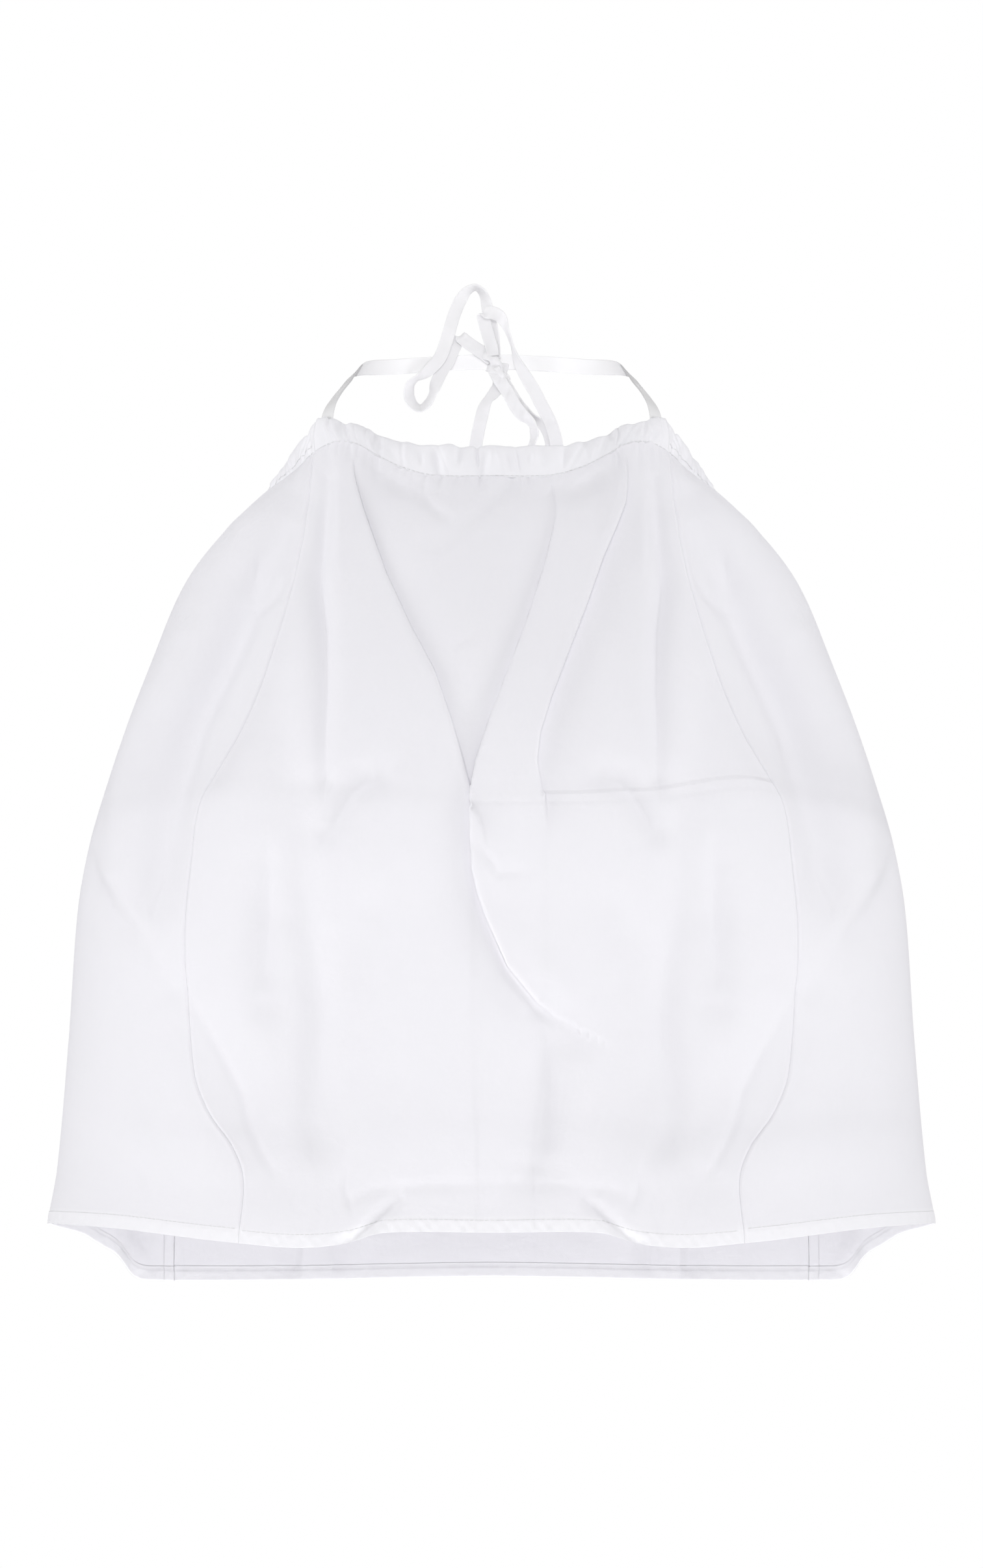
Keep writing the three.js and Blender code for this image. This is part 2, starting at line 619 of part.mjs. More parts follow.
// Uneven gathers: waves of unlike lengths along the casing
function gatherWave(place) {
  let rise = 0;
  for (const { weight, rate, start } of gatherWaves) {
    rise += weight * Math.sin(place * 2 * Math.PI * rate + start);
  }
  return rise;
}

// A casing: a soft flat tunnel, gathered, whose lower edge follows the panels' top edges
function casingGeometry(from, to, columns) {
  const outer = [[], [], []];
  const inner = [[], [], []];
  const steps = columns * gatherSteps;
  for (let step = 0; step <= steps; step += 1) {
    const place = step / gatherSteps;
    const column = Math.min(Math.floor(place), columns - 1);
    const share = place - column;
    const a = casingFrame(wrapped(mix(from, to, column / columns)));
    const b = casingFrame(wrapped(mix(from, to, (column + 1) / columns)));
    const edge = a.edge.clone().lerp(b.edge, share);
    const low = a.low.clone().lerp(b.low, share);
    const out = a.out.clone().lerp(b.out, share).normalize();
    const ends = Math.min(step, steps - step, gatherEase) / gatherEase;
    const wave = gatherWave(place) * ends;
    const down = low.clone().sub(edge).normalize();
    if (step === 0 || step === steps) {
      const inwards = (step ? -1 : 1) * seamGap / 2;
      const along = b.edge.clone().sub(a.edge).normalize();
      edge.addScaledVector(along, inwards);
      low.addScaledVector(along, inwards);
    }
    const middle = edge.clone().lerp(low, 0.5).addScaledVector(out, wave * gatherRise);
    const top = edge.clone().addScaledVector(down, rimRise * (1 - gatherWave(place + rimShift) * ends) / 2);
    top.addScaledVector(out, wave * rimGather);
    const half = casingWall / 2;
    outer[0].push(top.clone().addScaledVector(out, rimWall / 2));
    outer[1].push(middle.clone().addScaledVector(out, half + casingBelly));
    outer[2].push(low.clone().addScaledVector(out, half));
    inner[0].push(top.clone().addScaledVector(out, -rimWall / 2));
    inner[1].push(middle.clone().addScaledVector(out, -half));
    inner[2].push(low.clone().addScaledVector(out, -half));
  }
  return solidFromFaces(outer, inner);
}

// A flat tape along a smooth route, with a rectangular section
function tapeGeometry(stations, width, wall, steps) {
  const route = new THREE.CatmullRomCurve3(stations.map((station) => station.place), false, 'centripetal');
  const outer = [[], []];
  const inner = [[], []];
  const count = (stations.length - 1) * steps;
  for (let step = 0; step <= count; step += 1) {
    const place = step / steps;
    const index = Math.min(Math.floor(place), stations.length - 2);
    const wide = stations[index].wide.clone().lerp(stations[index + 1].wide, place - index).normalize();
    const point = route.getPoint(step / count);
    const along = route.getTangent(step / count);
    const face = wide.clone().cross(along).normalize();
    const edges = [-width / 2, width / 2];
    edges.forEach((edge, row) => {
      const side = point.clone().addScaledVector(wide, edge);
      outer[row].push(side.clone().addScaledVector(face, wall / 2));
      inner[row].push(side.clone().addScaledVector(face, -wall / 2));
    });
  }
  return solidFromFaces(outer, inner);
}

// The neck strap, the same on both sides of the nape
function strapGeometry() {
  const right = strapRoute.map((row) => {
    const place = new THREE.Vector3(row.x, row.y, -row.drop);
    return { place, face: new THREE.Vector3(row.nx, row.ny, row.nz) };
  });
  const nape = { place: new THREE.Vector3(), face: new THREE.Vector3(0, 1, 0) };
  const flip = (station) => ({
    place: station.place.clone().setX(-station.place.x),
    face: station.face.clone().setX(-station.face.x),
  });
  const stations = [...right, nape, ...right.map(flip).reverse()];
  const last = stations.length - 1;
  stations.forEach((station, i) => {
    const before = stations[Math.max(i - 1, 0)].place;
    const after = stations[Math.min(i + 1, last)].place;
    const along = after.clone().sub(before).normalize();
    station.wide = along.cross(station.face).normalize();
  });
  return tapeGeometry(stations, strapWidth, strapWall, strapSteps);
}

// One strand of the tie
function strandGeometry(rows) {
  const stations = rows.map((row) => {
    const across = radians(row.across);
    const lean = radians(row.lean);
    const wide = new THREE.Vector3(Math.cos(across) * Math.cos(lean), -Math.sin(lean),
      Math.sin(across) * Math.cos(lean));
    return { place: new THREE.Vector3(row.x, row.y, row.z), wide };
  });
  return tapeGeometry(stations, tapeWidth, tapeWall, strandSteps);
}

// The knot's band, as a soft ring extruded along the strap
function knotGeometry() {
  const ring = (front, back, height) => {
    const points = [];
    for (let i = 0; i < knotSides; i += 1) {
      const turn = (2 * Math.PI * i) / knotSides;
      const depth = Math.cos(turn) < 0 ? front : back;
      const round = (value) => Math.sign(value) * Math.abs(value) ** knotRounding;
      points.push(new THREE.Vector2(depth * round(Math.cos(turn)), height * round(Math.sin(turn))));
    }
    return points;
  };
  const shape = new THREE.Shape(ring(knot.frontDepth, knot.backDepth, knot.height));
  shape.holes.push(new THREE.Path(ring(knot.innerDepth, knot.innerDepth, knot.innerHeight)));
  const geometry = new THREE.ExtrudeGeometry(shape, { depth: knot.width, bevelEnabled: false });
  const turned = new THREE.Matrix4().makeBasis(
    new THREE.Vector3(0, 1, 0), new THREE.Vector3(0, 0, 1), new THREE.Vector3(1, 0, 0));
  return geometry.applyMatrix4(turned).translate(knot.x - knot.width / 2, 0, 0);
}

// Materials
function cloth() {
  return new THREE.MeshStandardMaterial({ color: 0xf2f1f6, roughness: 0.92, metalness: 0 });
}
function satin() {
  return new THREE.MeshStandardMaterial({ color: 0xf3f3f7, roughness: 0.45, metalness: 0 });
}

const top = new THREE.Group();
function add(name, geometry, material) {
  const mesh = new THREE.Mesh(geometry, material);
  mesh.name = name;
  top.add(mesh);
}

for (const [name, panel] of Object.entries(panels)) {
  add(name, panelGeometry(panel), cloth());
}

const neckCorner = frontSeam[0].angle;
const backCorner = backSeam[0].angle;
add('neck_casing', casingGeometry(-neckCorner, neckCorner, frontColumns), cloth());
add('arm_casing_right', casingGeometry(neckCorner, backCorner, sideColumns), cloth());
add('back_casing', casingGeometry(backCorner, 360 - backCorner, backColumns), cloth());
add('arm_casing_left', casingGeometry(-backCorner, -neckCorner, sideColumns), cloth());
add('neck_strap', strapGeometry(), satin());
add('tie_knot', knotGeometry(), cloth());
for (const [name, rows] of Object.entries(tieStrands)) {
  add(name, strandGeometry(rows), cloth());
}

export default top;
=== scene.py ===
import math

import bpy
import numpy as np
from mathutils import Matrix


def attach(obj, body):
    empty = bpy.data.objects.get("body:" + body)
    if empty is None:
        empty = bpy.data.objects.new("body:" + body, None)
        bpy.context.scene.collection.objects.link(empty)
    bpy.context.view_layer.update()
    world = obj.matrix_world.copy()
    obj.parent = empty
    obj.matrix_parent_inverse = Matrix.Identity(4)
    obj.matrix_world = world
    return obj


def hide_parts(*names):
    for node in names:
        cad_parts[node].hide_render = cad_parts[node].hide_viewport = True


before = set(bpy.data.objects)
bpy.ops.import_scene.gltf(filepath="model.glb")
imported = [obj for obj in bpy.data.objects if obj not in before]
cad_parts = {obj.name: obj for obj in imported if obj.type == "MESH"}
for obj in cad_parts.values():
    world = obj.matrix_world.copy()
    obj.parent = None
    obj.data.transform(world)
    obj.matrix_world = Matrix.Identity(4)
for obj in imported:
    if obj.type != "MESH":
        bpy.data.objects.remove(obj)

# Halter neck top. The tables are in millimetres and the meshes in metres. The origin is at the nape,
# drop is measured down from it, and the front faces -Y.
print("halter top: frame loaded")
mm = 0.001
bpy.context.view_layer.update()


# Camera, lights and floor
studio = {
    "cameraDistance": 4.0,       # metres in front of the plane that the picture is measured on
    "picturePlane": -0.060,
    "aimDrop": 0.2766,
    "frameHeight": 1.0126,       # metres seen at that plane
    "sensorHeight": 24.0,
    "ambient": 0.65,             # how much of the white surroundings lights the cloth
    "lamps": {                   # place, size across, power
        "highLamp": ((-0.05, -3.4, 0.9), 1.2, 33.5),
        "lowLamp": ((-0.2, -3.4, -1.0), 1.0, 3.6),
        "leftLamp": ((-2.5, -0.5, -0.2), 1.2, 18.0),
        "rightLamp": ((2.5, -0.5, -0.2), 1.2, 17.0),
        "backLamp": ((0.0, 3.4, 0.9), 1.4, 42.0),
        "underLamp": ((0.0, -0.35, -1.3), 0.5, 5.2),
    },
    "aim": (0.0, -0.06, -0.32),
    "floorDrop": 4.6,            # so far below that the top can be seen from underneath
    "floorRadius": 4.5,
    "floorSides": 96,
    "floorColour": (0.96, 0.96, 0.96, 1.0),
    "floorRough": 0.9,
}
white = (1.0, 1.0, 1.0, 1.0)


def aimAt(thing, place, target):
    thing.location = place
    way = [t - p for t, p in zip(target, place)]
    level = math.hypot(way[0], way[1])
    thing.rotation_euler = (math.atan2(level, -way[2]), 0, math.atan2(-way[0], way[1]))


def newNode(tree, kind, inputs=None):
    # A shader node whose inputs get numbers, colours or links from the outputs of other nodes
    node = tree.nodes.new("ShaderNode" + kind)
    for label, value in (inputs or {}).items():
        if isinstance(value, bpy.types.NodeSocket):
            tree.links.new(value, node.inputs[label])
        else:
            node.inputs[label].default_value = value
    return node


def makeCamera(scene):
    lens = bpy.data.cameras.new("camera")
    lens.sensor_fit = "VERTICAL"
    lens.sensor_height = studio["sensorHeight"]
    lens.lens = studio["sensorHeight"] * studio["cameraDistance"] / studio["frameHeight"]
    camera = bpy.data.objects.new("camera", lens)
    camera.location = (0, studio["picturePlane"] - studio["cameraDistance"], -studio["aimDrop"])
    camera.rotation_euler = (math.pi / 2, 0, 0)
    scene.collection.objects.link(camera)
    scene.camera = camera


def makeSurroundings(scene):
    # White to the camera, and dimmer as a light
    world = bpy.data.worlds.new("studio")
    world.use_nodes = True
    scene.world = world
    tree = world.node_tree
    tree.nodes.clear()
    light = newNode(tree, "Background", {"Color": white, "Strength": studio["ambient"]})
    seen = newNode(tree, "Background", {"Color": white})
    rays = newNode(tree, "LightPath")
    mix = newNode(tree, "MixShader", {"Fac": rays.outputs["Is Camera Ray"], 1: light.outputs["Background"],
                                      2: seen.outputs["Background"]})
    newNode(tree, "OutputWorld", {"Surface": mix.outputs["Shader"]})


def makeLamps(scene):
    for name, (place, size, power) in studio["lamps"].items():
        lamp = bpy.data.lights.new(name, "AREA")
        lamp.shape = "DISK"
        lamp.size = size
        lamp.energy = power
        lampObject = bpy.data.objects.new(name, lamp)
        aimAt(lampObject, place, studio["aim"])
        scene.collection.objects.link(lampObject)


def makeFloor():
    bpy.ops.object.select_all(action="DESELECT")
    bpy.ops.mesh.primitive_circle_add(vertices=studio["floorSides"], radius=studio["floorRadius"],
                                      fill_type="NGON", location=(0, 0, -studio["floorDrop"]))
    floor = bpy.context.object
    floor.name = "floor"
    bpy.ops.object.transform_apply(location=True, rotation=False, scale=False)
    floorLook = bpy.data.materials.new("paleFloor")
    floorLook.use_nodes = True
    floorShader = floorLook.node_tree.nodes["Principled BSDF"]
    floorShader.inputs["Base Color"].default_value = studio["floorColour"]
    floorShader.inputs["Roughness"].default_value = studio["floorRough"]
    floor.data.materials.append(floorLook)


bpy.context.scene.view_settings.view_transform = "Standard"
makeCamera(bpy.context.scene)
makeSurroundings(bpy.context.scene)
makeLamps(bpy.context.scene)
makeFloor()
print("halter top: camera, lights and floor")


# Shader groups: each takes a place and some numbers, and puts out heights and tones that vary over the cloth
weaveLook = {"threads": 2600.0, "slub": 900.0, "detail": 2.0, "stretch": (1.0, 0.12, 1.0), "slubHeight": 0.8}
crumpleLook = {                  # scale and weight of the creases in each size
    "Large": (22.0, 1.0), "Middle": (70.0, 0.45), "Small": (210.0, 0.16),
}
crumpleNoise = {"Detail": 3.0, "Roughness": 0.55, "Distortion": 0.4}


def newGroup(name, numbers):
    group = bpy.data.node_groups.new(name, "ShaderNodeTree")
    group.interface.new_socket(name="Place", in_out="INPUT", socket_type="NodeSocketVector")
    for label, value in numbers.items():
        socket = group.interface.new_socket(name=label, in_out="INPUT", socket_type="NodeSocketFloat")
        socket.default_value = value
    for label in ("Height", "Tone"):
        group.interface.new_socket(name=label, in_out="OUTPUT", socket_type="NodeSocketFloat")
    return group, group.nodes.new("NodeGroupInput"), group.nodes.new("NodeGroupOutput")


def mathNode(tree, operation, first, second=None):
    node = tree.nodes.new("ShaderNodeMath")
    node.operation = operation
    for socket, value in zip(node.inputs, (first, second)):
        if isinstance(value, (int, float)):
            socket.default_value = value
        elif value is not None:
            tree.links.new(value, socket)
    return node.outputs["Value"]


def makeWeaveGroup():
    # Plain weave: warp and weft rise in turn, with uneven threads
    numbers = {"Threads": weaveLook["threads"], "Slub": weaveLook["slub"]}
    group, given, result = newGroup("plainWeave", numbers)
    split = newNode(group, "SeparateXYZ", {"Vector": given.outputs["Place"]})
    waves = []
    for axis in ("X", "Y"):
        turn = mathNode(group, "MULTIPLY", split.outputs[axis], given.outputs["Threads"])
        waves.append(mathNode(group, "SINE", mathNode(group, "MULTIPLY", turn, math.tau)))
    cross = mathNode(group, "MULTIPLY", waves[0], waves[1])
    stretch = newNode(group, "Mapping", {"Scale": weaveLook["stretch"], "Vector": given.outputs["Place"]})
    slub = newNode(group, "TexNoise", {"Detail": weaveLook["detail"], "Scale": given.outputs["Slub"],
                                       "Vector": stretch.outputs["Vector"]})
    uneven = mathNode(group, "MULTIPLY", slub.outputs["Fac"], weaveLook["slubHeight"])
    group.links.new(mathNode(group, "ADD", cross, uneven), result.inputs["Height"])
    group.links.new(slub.outputs["Fac"], result.inputs["Tone"])
    return group


def makeCrumpleGroup():
    # Soft creases left by handling, in three sizes
    numbers = {label: scale for label, (scale, weight) in crumpleLook.items()}
    group, given, result = newGroup("crumple", numbers)
    heights = []
    for label, (scale, weight) in crumpleLook.items():
        noise = newNode(group, "TexNoise", {**crumpleNoise, "Vector": given.outputs["Place"],
                                            "Scale": given.outputs[label]})
        heights.append(mathNode(group, "MULTIPLY", noise.outputs["Fac"], weight))
    total = mathNode(group, "ADD", mathNode(group, "ADD", heights[0], heights[1]), heights[2])
    group.links.new(total, result.inputs["Height"])
    group.links.new(heights[0], result.inputs["Tone"])
    return group


weaveGroup = makeWeaveGroup()
crumpleGroup = makeCrumpleGroup()

clothLook = {
    "poplin": {"dark": (0.875, 0.866, 0.908), "light": (0.899, 0.891, 0.930),
               "doubledAndPaintedLight": (0.924, 0.918, 0.952), "rough": 0.9, "gloss": 0.25, "sheen": 0.12,
               "threads": 2600.0, "weaveDepth": 0.00005, "crumpleDepth": 0.0011},
    "tape": {"dark": (0.905, 0.900, 0.915), "light": (0.930, 0.925, 0.938), "doubledAndPaintedLight": (0.930, 0.925, 0.938),
             "rough": 0.88, "gloss": 0.25, "sheen": 0.12,
             "threads": 2800.0, "weaveDepth": 0.00004, "crumpleDepth": 0.0006},
    # The satin's two low tones are painted shade, for the strap where it turns edge on, and its bright third
    # tone is a painted highlight on the strap's back; the ribbon itself is white.
    "satin": {"dark": (0.50, 0.495, 0.50), "light": (0.54, 0.535, 0.54), "doubledAndPaintedLight": (0.982, 0.980, 0.988),
              "rough": 0.6, "gloss": 0.35, "sheen": 0.05,
              "threads": 4200.0, "weaveDepth": 0.000004, "crumpleDepth": 0.0001},
    "thread": {"dark": (0.90, 0.90, 0.91), "light": (0.93, 0.93, 0.94), "doubledAndPaintedLight": (0.93, 0.93, 0.94),
               "rough": 0.7, "gloss": 0.25, "sheen": 0.1,
               "threads": 5200.0, "weaveDepth": 0.00003, "crumpleDepth": 0.0001},
}
toneShare = {"weave": 0.4, "crumple": 0.6}       # how much of the change in tone each pattern gives
sheenRough = 0.5


def mixTones(tree, factor, first, second):
    mix = tree.nodes.new("ShaderNodeMix")
    mix.data_type = "RGBA"
    if isinstance(first, tuple):
        mix.inputs["A"].default_value = (*first, 1)
    else:
        tree.links.new(first, mix.inputs["A"])
    mix.inputs["B"].default_value = (*second, 1)
    tree.links.new(factor, mix.inputs["Factor"])
    return mix.outputs["Result"]


def makeCloth(name):
    look = clothLook[name]
    material = bpy.data.materials.new(name)
    material.use_nodes = True
    tree = material.node_tree
    shader = tree.nodes["Principled BSDF"]
    for label, value in (("Roughness", look["rough"]), ("Sheen Weight", look["sheen"]),
                         ("Sheen Roughness", sheenRough), ("Specular IOR Level", look["gloss"])):
        shader.inputs[label].default_value = value
    cut = newNode(tree, "UVMap")
    cut.uv_map = "cut"
    weave = newNode(tree, "Group")
    weave.node_tree = weaveGroup
    weave.inputs["Threads"].default_value = look["threads"]
    tree.links.new(cut.outputs["UV"], weave.inputs["Place"])
    crumple = newNode(tree, "Group")
    crumple.node_tree = crumpleGroup
    tree.links.new(newNode(tree, "TexCoord").outputs["Object"], crumple.inputs["Place"])
    # This attribute mixes towards the doubled tone on doubled cloth, and on the strap it mixes in painted
    # shade and a painted highlight.
    layersAndPaintedShade = newNode(tree, "Attribute")
    layersAndPaintedShade.attribute_name = "layersAndPaintedShade"
    change = mathNode(tree, "ADD", mathNode(tree, "MULTIPLY", weave.outputs["Tone"], toneShare["weave"]),
                      mathNode(tree, "MULTIPLY", crumple.outputs["Tone"], toneShare["crumple"]))
    tone = mixTones(tree, change, look["dark"], look["light"])
    tree.links.new(mixTones(tree, layersAndPaintedShade.outputs["Fac"], tone, look["doubledAndPaintedLight"]), shader.inputs["Base Color"])
    normal = None
    for pattern, depth in ((crumple, look["crumpleDepth"]), (weave, look["weaveDepth"])):
        bump = newNode(tree, "Bump", {"Strength": 1.0, "Distance": depth,
                                      "Height": pattern.outputs["Height"]})
        if normal:
            tree.links.new(normal, bump.inputs["Normal"])
        normal = bump.outputs["Normal"]
    tree.links.new(normal, shader.inputs["Normal"])
    return material


poplin = makeCloth("poplin")
tapeCloth = makeCloth("tape")
satin = makeCloth("satin")
thread = makeCloth("thread")
print("halter top: materials")


# Meshes from numpy arrays: points in millimetres, faces as lists of corners
def meshPiece(name, points, faces, cut, layersAndPaintedShade, material, node=None):
    mesh = bpy.data.meshes.new(name)
    mesh.from_pydata((np.asarray(points) * mm).tolist(), [], [list(face) for face in faces])
    mesh.polygons.foreach_set("use_smooth", [True] * len(mesh.polygons))
    corners = np.empty(len(mesh.loops), dtype=np.int32)
    mesh.loops.foreach_get("vertex_index", corners)
    chart = mesh.uv_layers.new(name="cut")
    chart.data.foreach_set("uv", (np.asarray(cut)[corners] * mm).astype(np.float32).ravel())
    marks = mesh.attributes.new("layersAndPaintedShade", "FLOAT", "POINT")
    marks.data.foreach_set("value", np.broadcast_to(np.asarray(layersAndPaintedShade, np.float32), len(points)).copy())
    mesh.materials.append(material)
    mesh.update()
    piece = bpy.data.objects.new(name, mesh)
    bpy.context.scene.collection.objects.link(piece)
    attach(piece, "root")
    if node:
        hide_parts(node)
    return piece


def gridFaces(rows, columns, closed=False):
    r = np.arange(rows - 1)[:, None]
    c = np.arange(columns if closed else columns - 1)[None, :]
    after = (c + 1) % columns
    quads = [r * columns + c, (r + 1) * columns + c, (r + 1) * columns + after, r * columns + after]
    if closed:
        quads = quads[::-1]
    return np.stack([np.broadcast_to(q, (rows - 1, c.size)) for q in quads], -1).reshape(-1, 4)


def tubeFaces(rows, columns):
    # The skin of a closed tube and its two ends
    faces = [tuple(face) for face in gridFaces(rows, columns, closed=True)]
    faces.append(tuple(range(columns))[::-1])
    faces.append(tuple(range((rows - 1) * columns, rows * columns)))
    return faces


def unit(vectors):
    return vectors / np.maximum(np.linalg.norm(vectors, axis=-1, keepdims=True), 1e-9)


def lengthAlong(route):
    return np.concatenate([[0], np.cumsum(np.linalg.norm(np.diff(route, axis=0), axis=1))])


def readTable(table, along, at, column):
    # One named column of a table, read smoothly between its rows
    xs = np.asarray(table[along], float)
    ys = np.asarray(table[column], float)
    at = np.clip(at, xs[0], xs[-1])
    i = np.clip(np.searchsorted(xs, at, side="left") - 1, 0, len(xs) - 2)
    slopes = np.empty_like(ys)
    slopes[1:-1] = (ys[2:] - ys[:-2]) / (xs[2:] - xs[:-2])
    slopes[0] = (ys[1] - ys[0]) / (xs[1] - xs[0])
    slopes[-1] = (ys[-1] - ys[-2]) / (xs[-1] - xs[-2])
    span = xs[i + 1] - xs[i]
    t = (at - xs[i]) / span
    return ((2 * t**3 - 3 * t**2 + 1) * ys[i] + (t**3 - 2 * t**2 + t) * span * slopes[i]
            + (3 * t**2 - 2 * t**3) * ys[i + 1] + (t**3 - t**2) * span * slopes[i + 1])


# Tapes: the neck strap and the strands of the tie
tape = {"width": 8.5, "thick": 1.1, "steps": 7, "edgeRoll": 0.25, "ripple": 0.35, "tightLength": 46.0,
        "seed": 11, "material": tapeCloth, "slot": "tie_tape"}
strap = {"width": 10.0, "thick": 0.9, "steps": 10, "edgeRoll": 0.3, "material": satin, "slot": "strap_ribbon"}
tapeProfile = {                  # seen end on, a little thicker along both edges
    "across": [-0.5, -0.485, -0.44, -0.36, -0.2, 0.0, 0.2, 0.36, 0.44, 0.485, 0.5],
    "half": [0.0, 0.7, 1.0, 0.85, 0.7, 0.7, 0.7, 0.85, 1.0, 0.7, 0.0],
}
tapeWaves = {"left": 5.1, "right": 4.3, "middle": 2.3, "middleShare": 0.6, "tightFrom": 1.4,
             "fine": (1.5, 2.4), "coarse": (2.3, -1.5), "coarseShare": 0.7}      # wave length and slant

# Strands of the tie, from the knot outward: place, then the angle of the tape's width from +X towards +Z, and
# how far that width leans towards the front
tieStrands = {
    "tie_left_loop": [(0.5, -2.2, 1.2, 57, 0), (-6, -3.4, 6, 57, 0), (-11.4, -5, 9.4, 55, 0),
        (-15.8, -6.2, 12.4, 50, 0), (-19.6, -6.6, 15.4, 38, 0), (-21.2, -5.4, 15.9, 20, 0),
        (-22.4, -4.8, 13.2, -8, 0), (-24.8, -4.8, 8, -20, 0), (-28, -5, 1.1, -24, 0),
        (-32.3, -5.4, -6.1, -24, 0), (-35.7, -5.6, -13.4, -25, 12), (-38.4, -5.8, -20.6, -28, 58),
        (-41.8, -6.2, -27.2, -50, 48), (-46.3, -6.8, -30.8, -88, 50), (-50.8, -7.4, -29.2, -128, 45),
        (-53.6, -7.6, -24.5, -165, 36), (-54, -8, -19.5, -186, 38), (-52.6, -8.2, -14.8, -207, 52),
        (-48.9, -8.2, -11.3, -224, 72), (-44.5, -8.2, -8.4, -224, 48), (-39.5, -8.2, -4.3, -222, 16),
        (-34, -8.2, 2, -212, 5), (-30.6, -8.2, 10, -203, 0), (-28, -8.2, 18.1, -198, 0),
        (-26, -8.2, 25.3, -198, 5), (-23.4, -8.2, 33, -201, 10), (-19.6, -8, 41.1, -214, 26),
        (-15.6, -7.6, 46.2, -236, 50), (-10.2, -7, 48.3, -270, 62), (-6.4, -6.2, 45.7, -305, 55),
        (-4.2, -5.2, 41.4, -330, 48), (-2.8, -4.2, 35.6, -338, 34), (-1, -3.4, 27.4, -343, 14),
        (0.8, -2.9, 18.4, -343, 4), (1.6, -2.7, 8.7, -343, 0), (1.8, -2.2, 2, -343, 0)],
    "tie_right_loop": [(0.8, -4.8, 3.5, 17, 0), (0, -4.9, 9.6, 17, 0), (-2.1, -5.4, 16.6, 17, 0),
        (-4, -6.6, 23.4, 18, 0), (-5.4, -8, 29, 26, 0), (-5.2, -9.6, 31.6, 42, 0), (-2.6, -11, 31.8, 58, 0),
        (1.6, -11.6, 31.2, 64, 6), (5.4, -11.6, 29.2, 56, 24), (8.2, -11.2, 25.4, 38, 50),
        (10.6, -10.6, 19, 24, 74), (13.6, -9.4, 9.2, 20, 82), (16.4, -8.4, 1.6, 24, 64),
        (20, -7.8, -5.6, 27, 34), (24, -7.4, -12.7, 28, 14), (28.5, -7.2, -20.2, 28, 0),
        (32.6, -7, -28.4, 26, 0), (36.8, -6.8, -36.4, 25, 0), (40.2, -6.6, -44.5, 22, 4),
        (42.6, -6.2, -54, 14, 8), (44, -5.4, -68, 6, 8), (44.6, -4.4, -84, 2, 4), (45, -3.6, -98, 0, 0)],
    "tie_left_feed": [(1.2, -4.8, -4.5, 28, 0), (4.4, -4.9, -10.8, 28, 0), (7, -5, -14.8, 29, 4),
        (10, -5.2, -19.2, 30, 0), (12.9, -5.2, -24.2, 30, 0), (15.9, -5.2, -29.6, 34, 0),
        (19.8, -5.2, -34.4, 45, 12), (24, -5, -38, 46, 42), (27.2, -4.6, -42, 20, 66),
        (28.2, -3.6, -46.6, 2, 52), (27.4, -2, -51.6, -8, 66), (26, 1, -58, -6, 52), (22.4, 8, -74, 0, 24),
        (16, 19.6, -100, 0, 6), (7.6, 33.8, -132, 0, 0), (-0.6, 46.8, -162, 0, 0), (-6.4, 57, -188, 0, 0),
        (-9, 62.2, -212, 0, 0)],
    "tie_right_feed": [(5, -3, -8.8, 28, 0), (9, -3.4, -15.2, 29, 0), (12, -3.6, -20, 30, 0),
        (15.2, -3.6, -25.2, 31, 0), (18.8, -3.6, -30.2, 35, 0), (23.2, -3.2, -34.4, 42, 22),
        (27.8, -2.6, -37.6, 48, 56), (32, -2.2, -40.6, 46, 52), (35.6, -1.8, -44.2, 34, 36),
        (38, -1, -49, 22, 24), (39.4, 0.6, -55, 12, 20), (38.4, 5, -66, 4, 16), (34.6, 13.6, -86, 0, 8),
        (28.6, 24, -110, 0, 2), (21.4, 36.4, -138, 0, 0), (14.6, 48.4, -166, 0, 0),
        (10.6, 57.2, -188.6, 0, 0), (9, 62.2, -212, 0, 0)],
    "tie_left_tail": [(4.6, -0.4, -7.65, 10, 0), (4.8, -0.6, -15.4, -8, 4), (1.8, 0, -20, -34, 22),
        (-2, 0, -24.2, -34, 52), (-4.5, -0.2, -29, -20, 32), (-6, -0.4, -34, -15, 6),
        (-7.4, -0.6, -39.6, -12, 0), (-9, -0.6, -47, -12, 0), (-10.3, -0.4, -55, -11, 0),
        (-11.2, 0.4, -68, -7, 0), (-11.8, 1.8, -84, -4, 0), (-12, 2.8, -98, -2, 0)],
}

# The neck strap from behind the right front corner to the nape, with the way its outer face looks
strapRoute = [
    (105.4, -94.2, -56, 0.62, -0.77, 0.1), (105.4, -93.8, -49, 0.62, -0.77, 0.1),
    (105.2, -92.3, -42, 0.64, -0.74, 0.2), (103.6, -87.6, -35, 0.66, -0.55, 0.5),
    (99.6, -76, -27, 0.62, -0.2, 0.75), (94, -60, -18.5, 0.62, -0.2, 0.75),
    (88.8, -46.5, -10.5, 0.72, -0.08, 0.69), (83, -36.5, -6.8, 0.83, 0.3, 0.45),
    (75.5, -26.5, -5.4, 0.72, 0.66, 0.18), (62, -13.5, -4, 0.48, 0.87, 0.06),
    (41, -4.6, -1.9, 0.28, 0.96, 0), (20, -1, -0.5, 0.12, 0.99, 0),
]


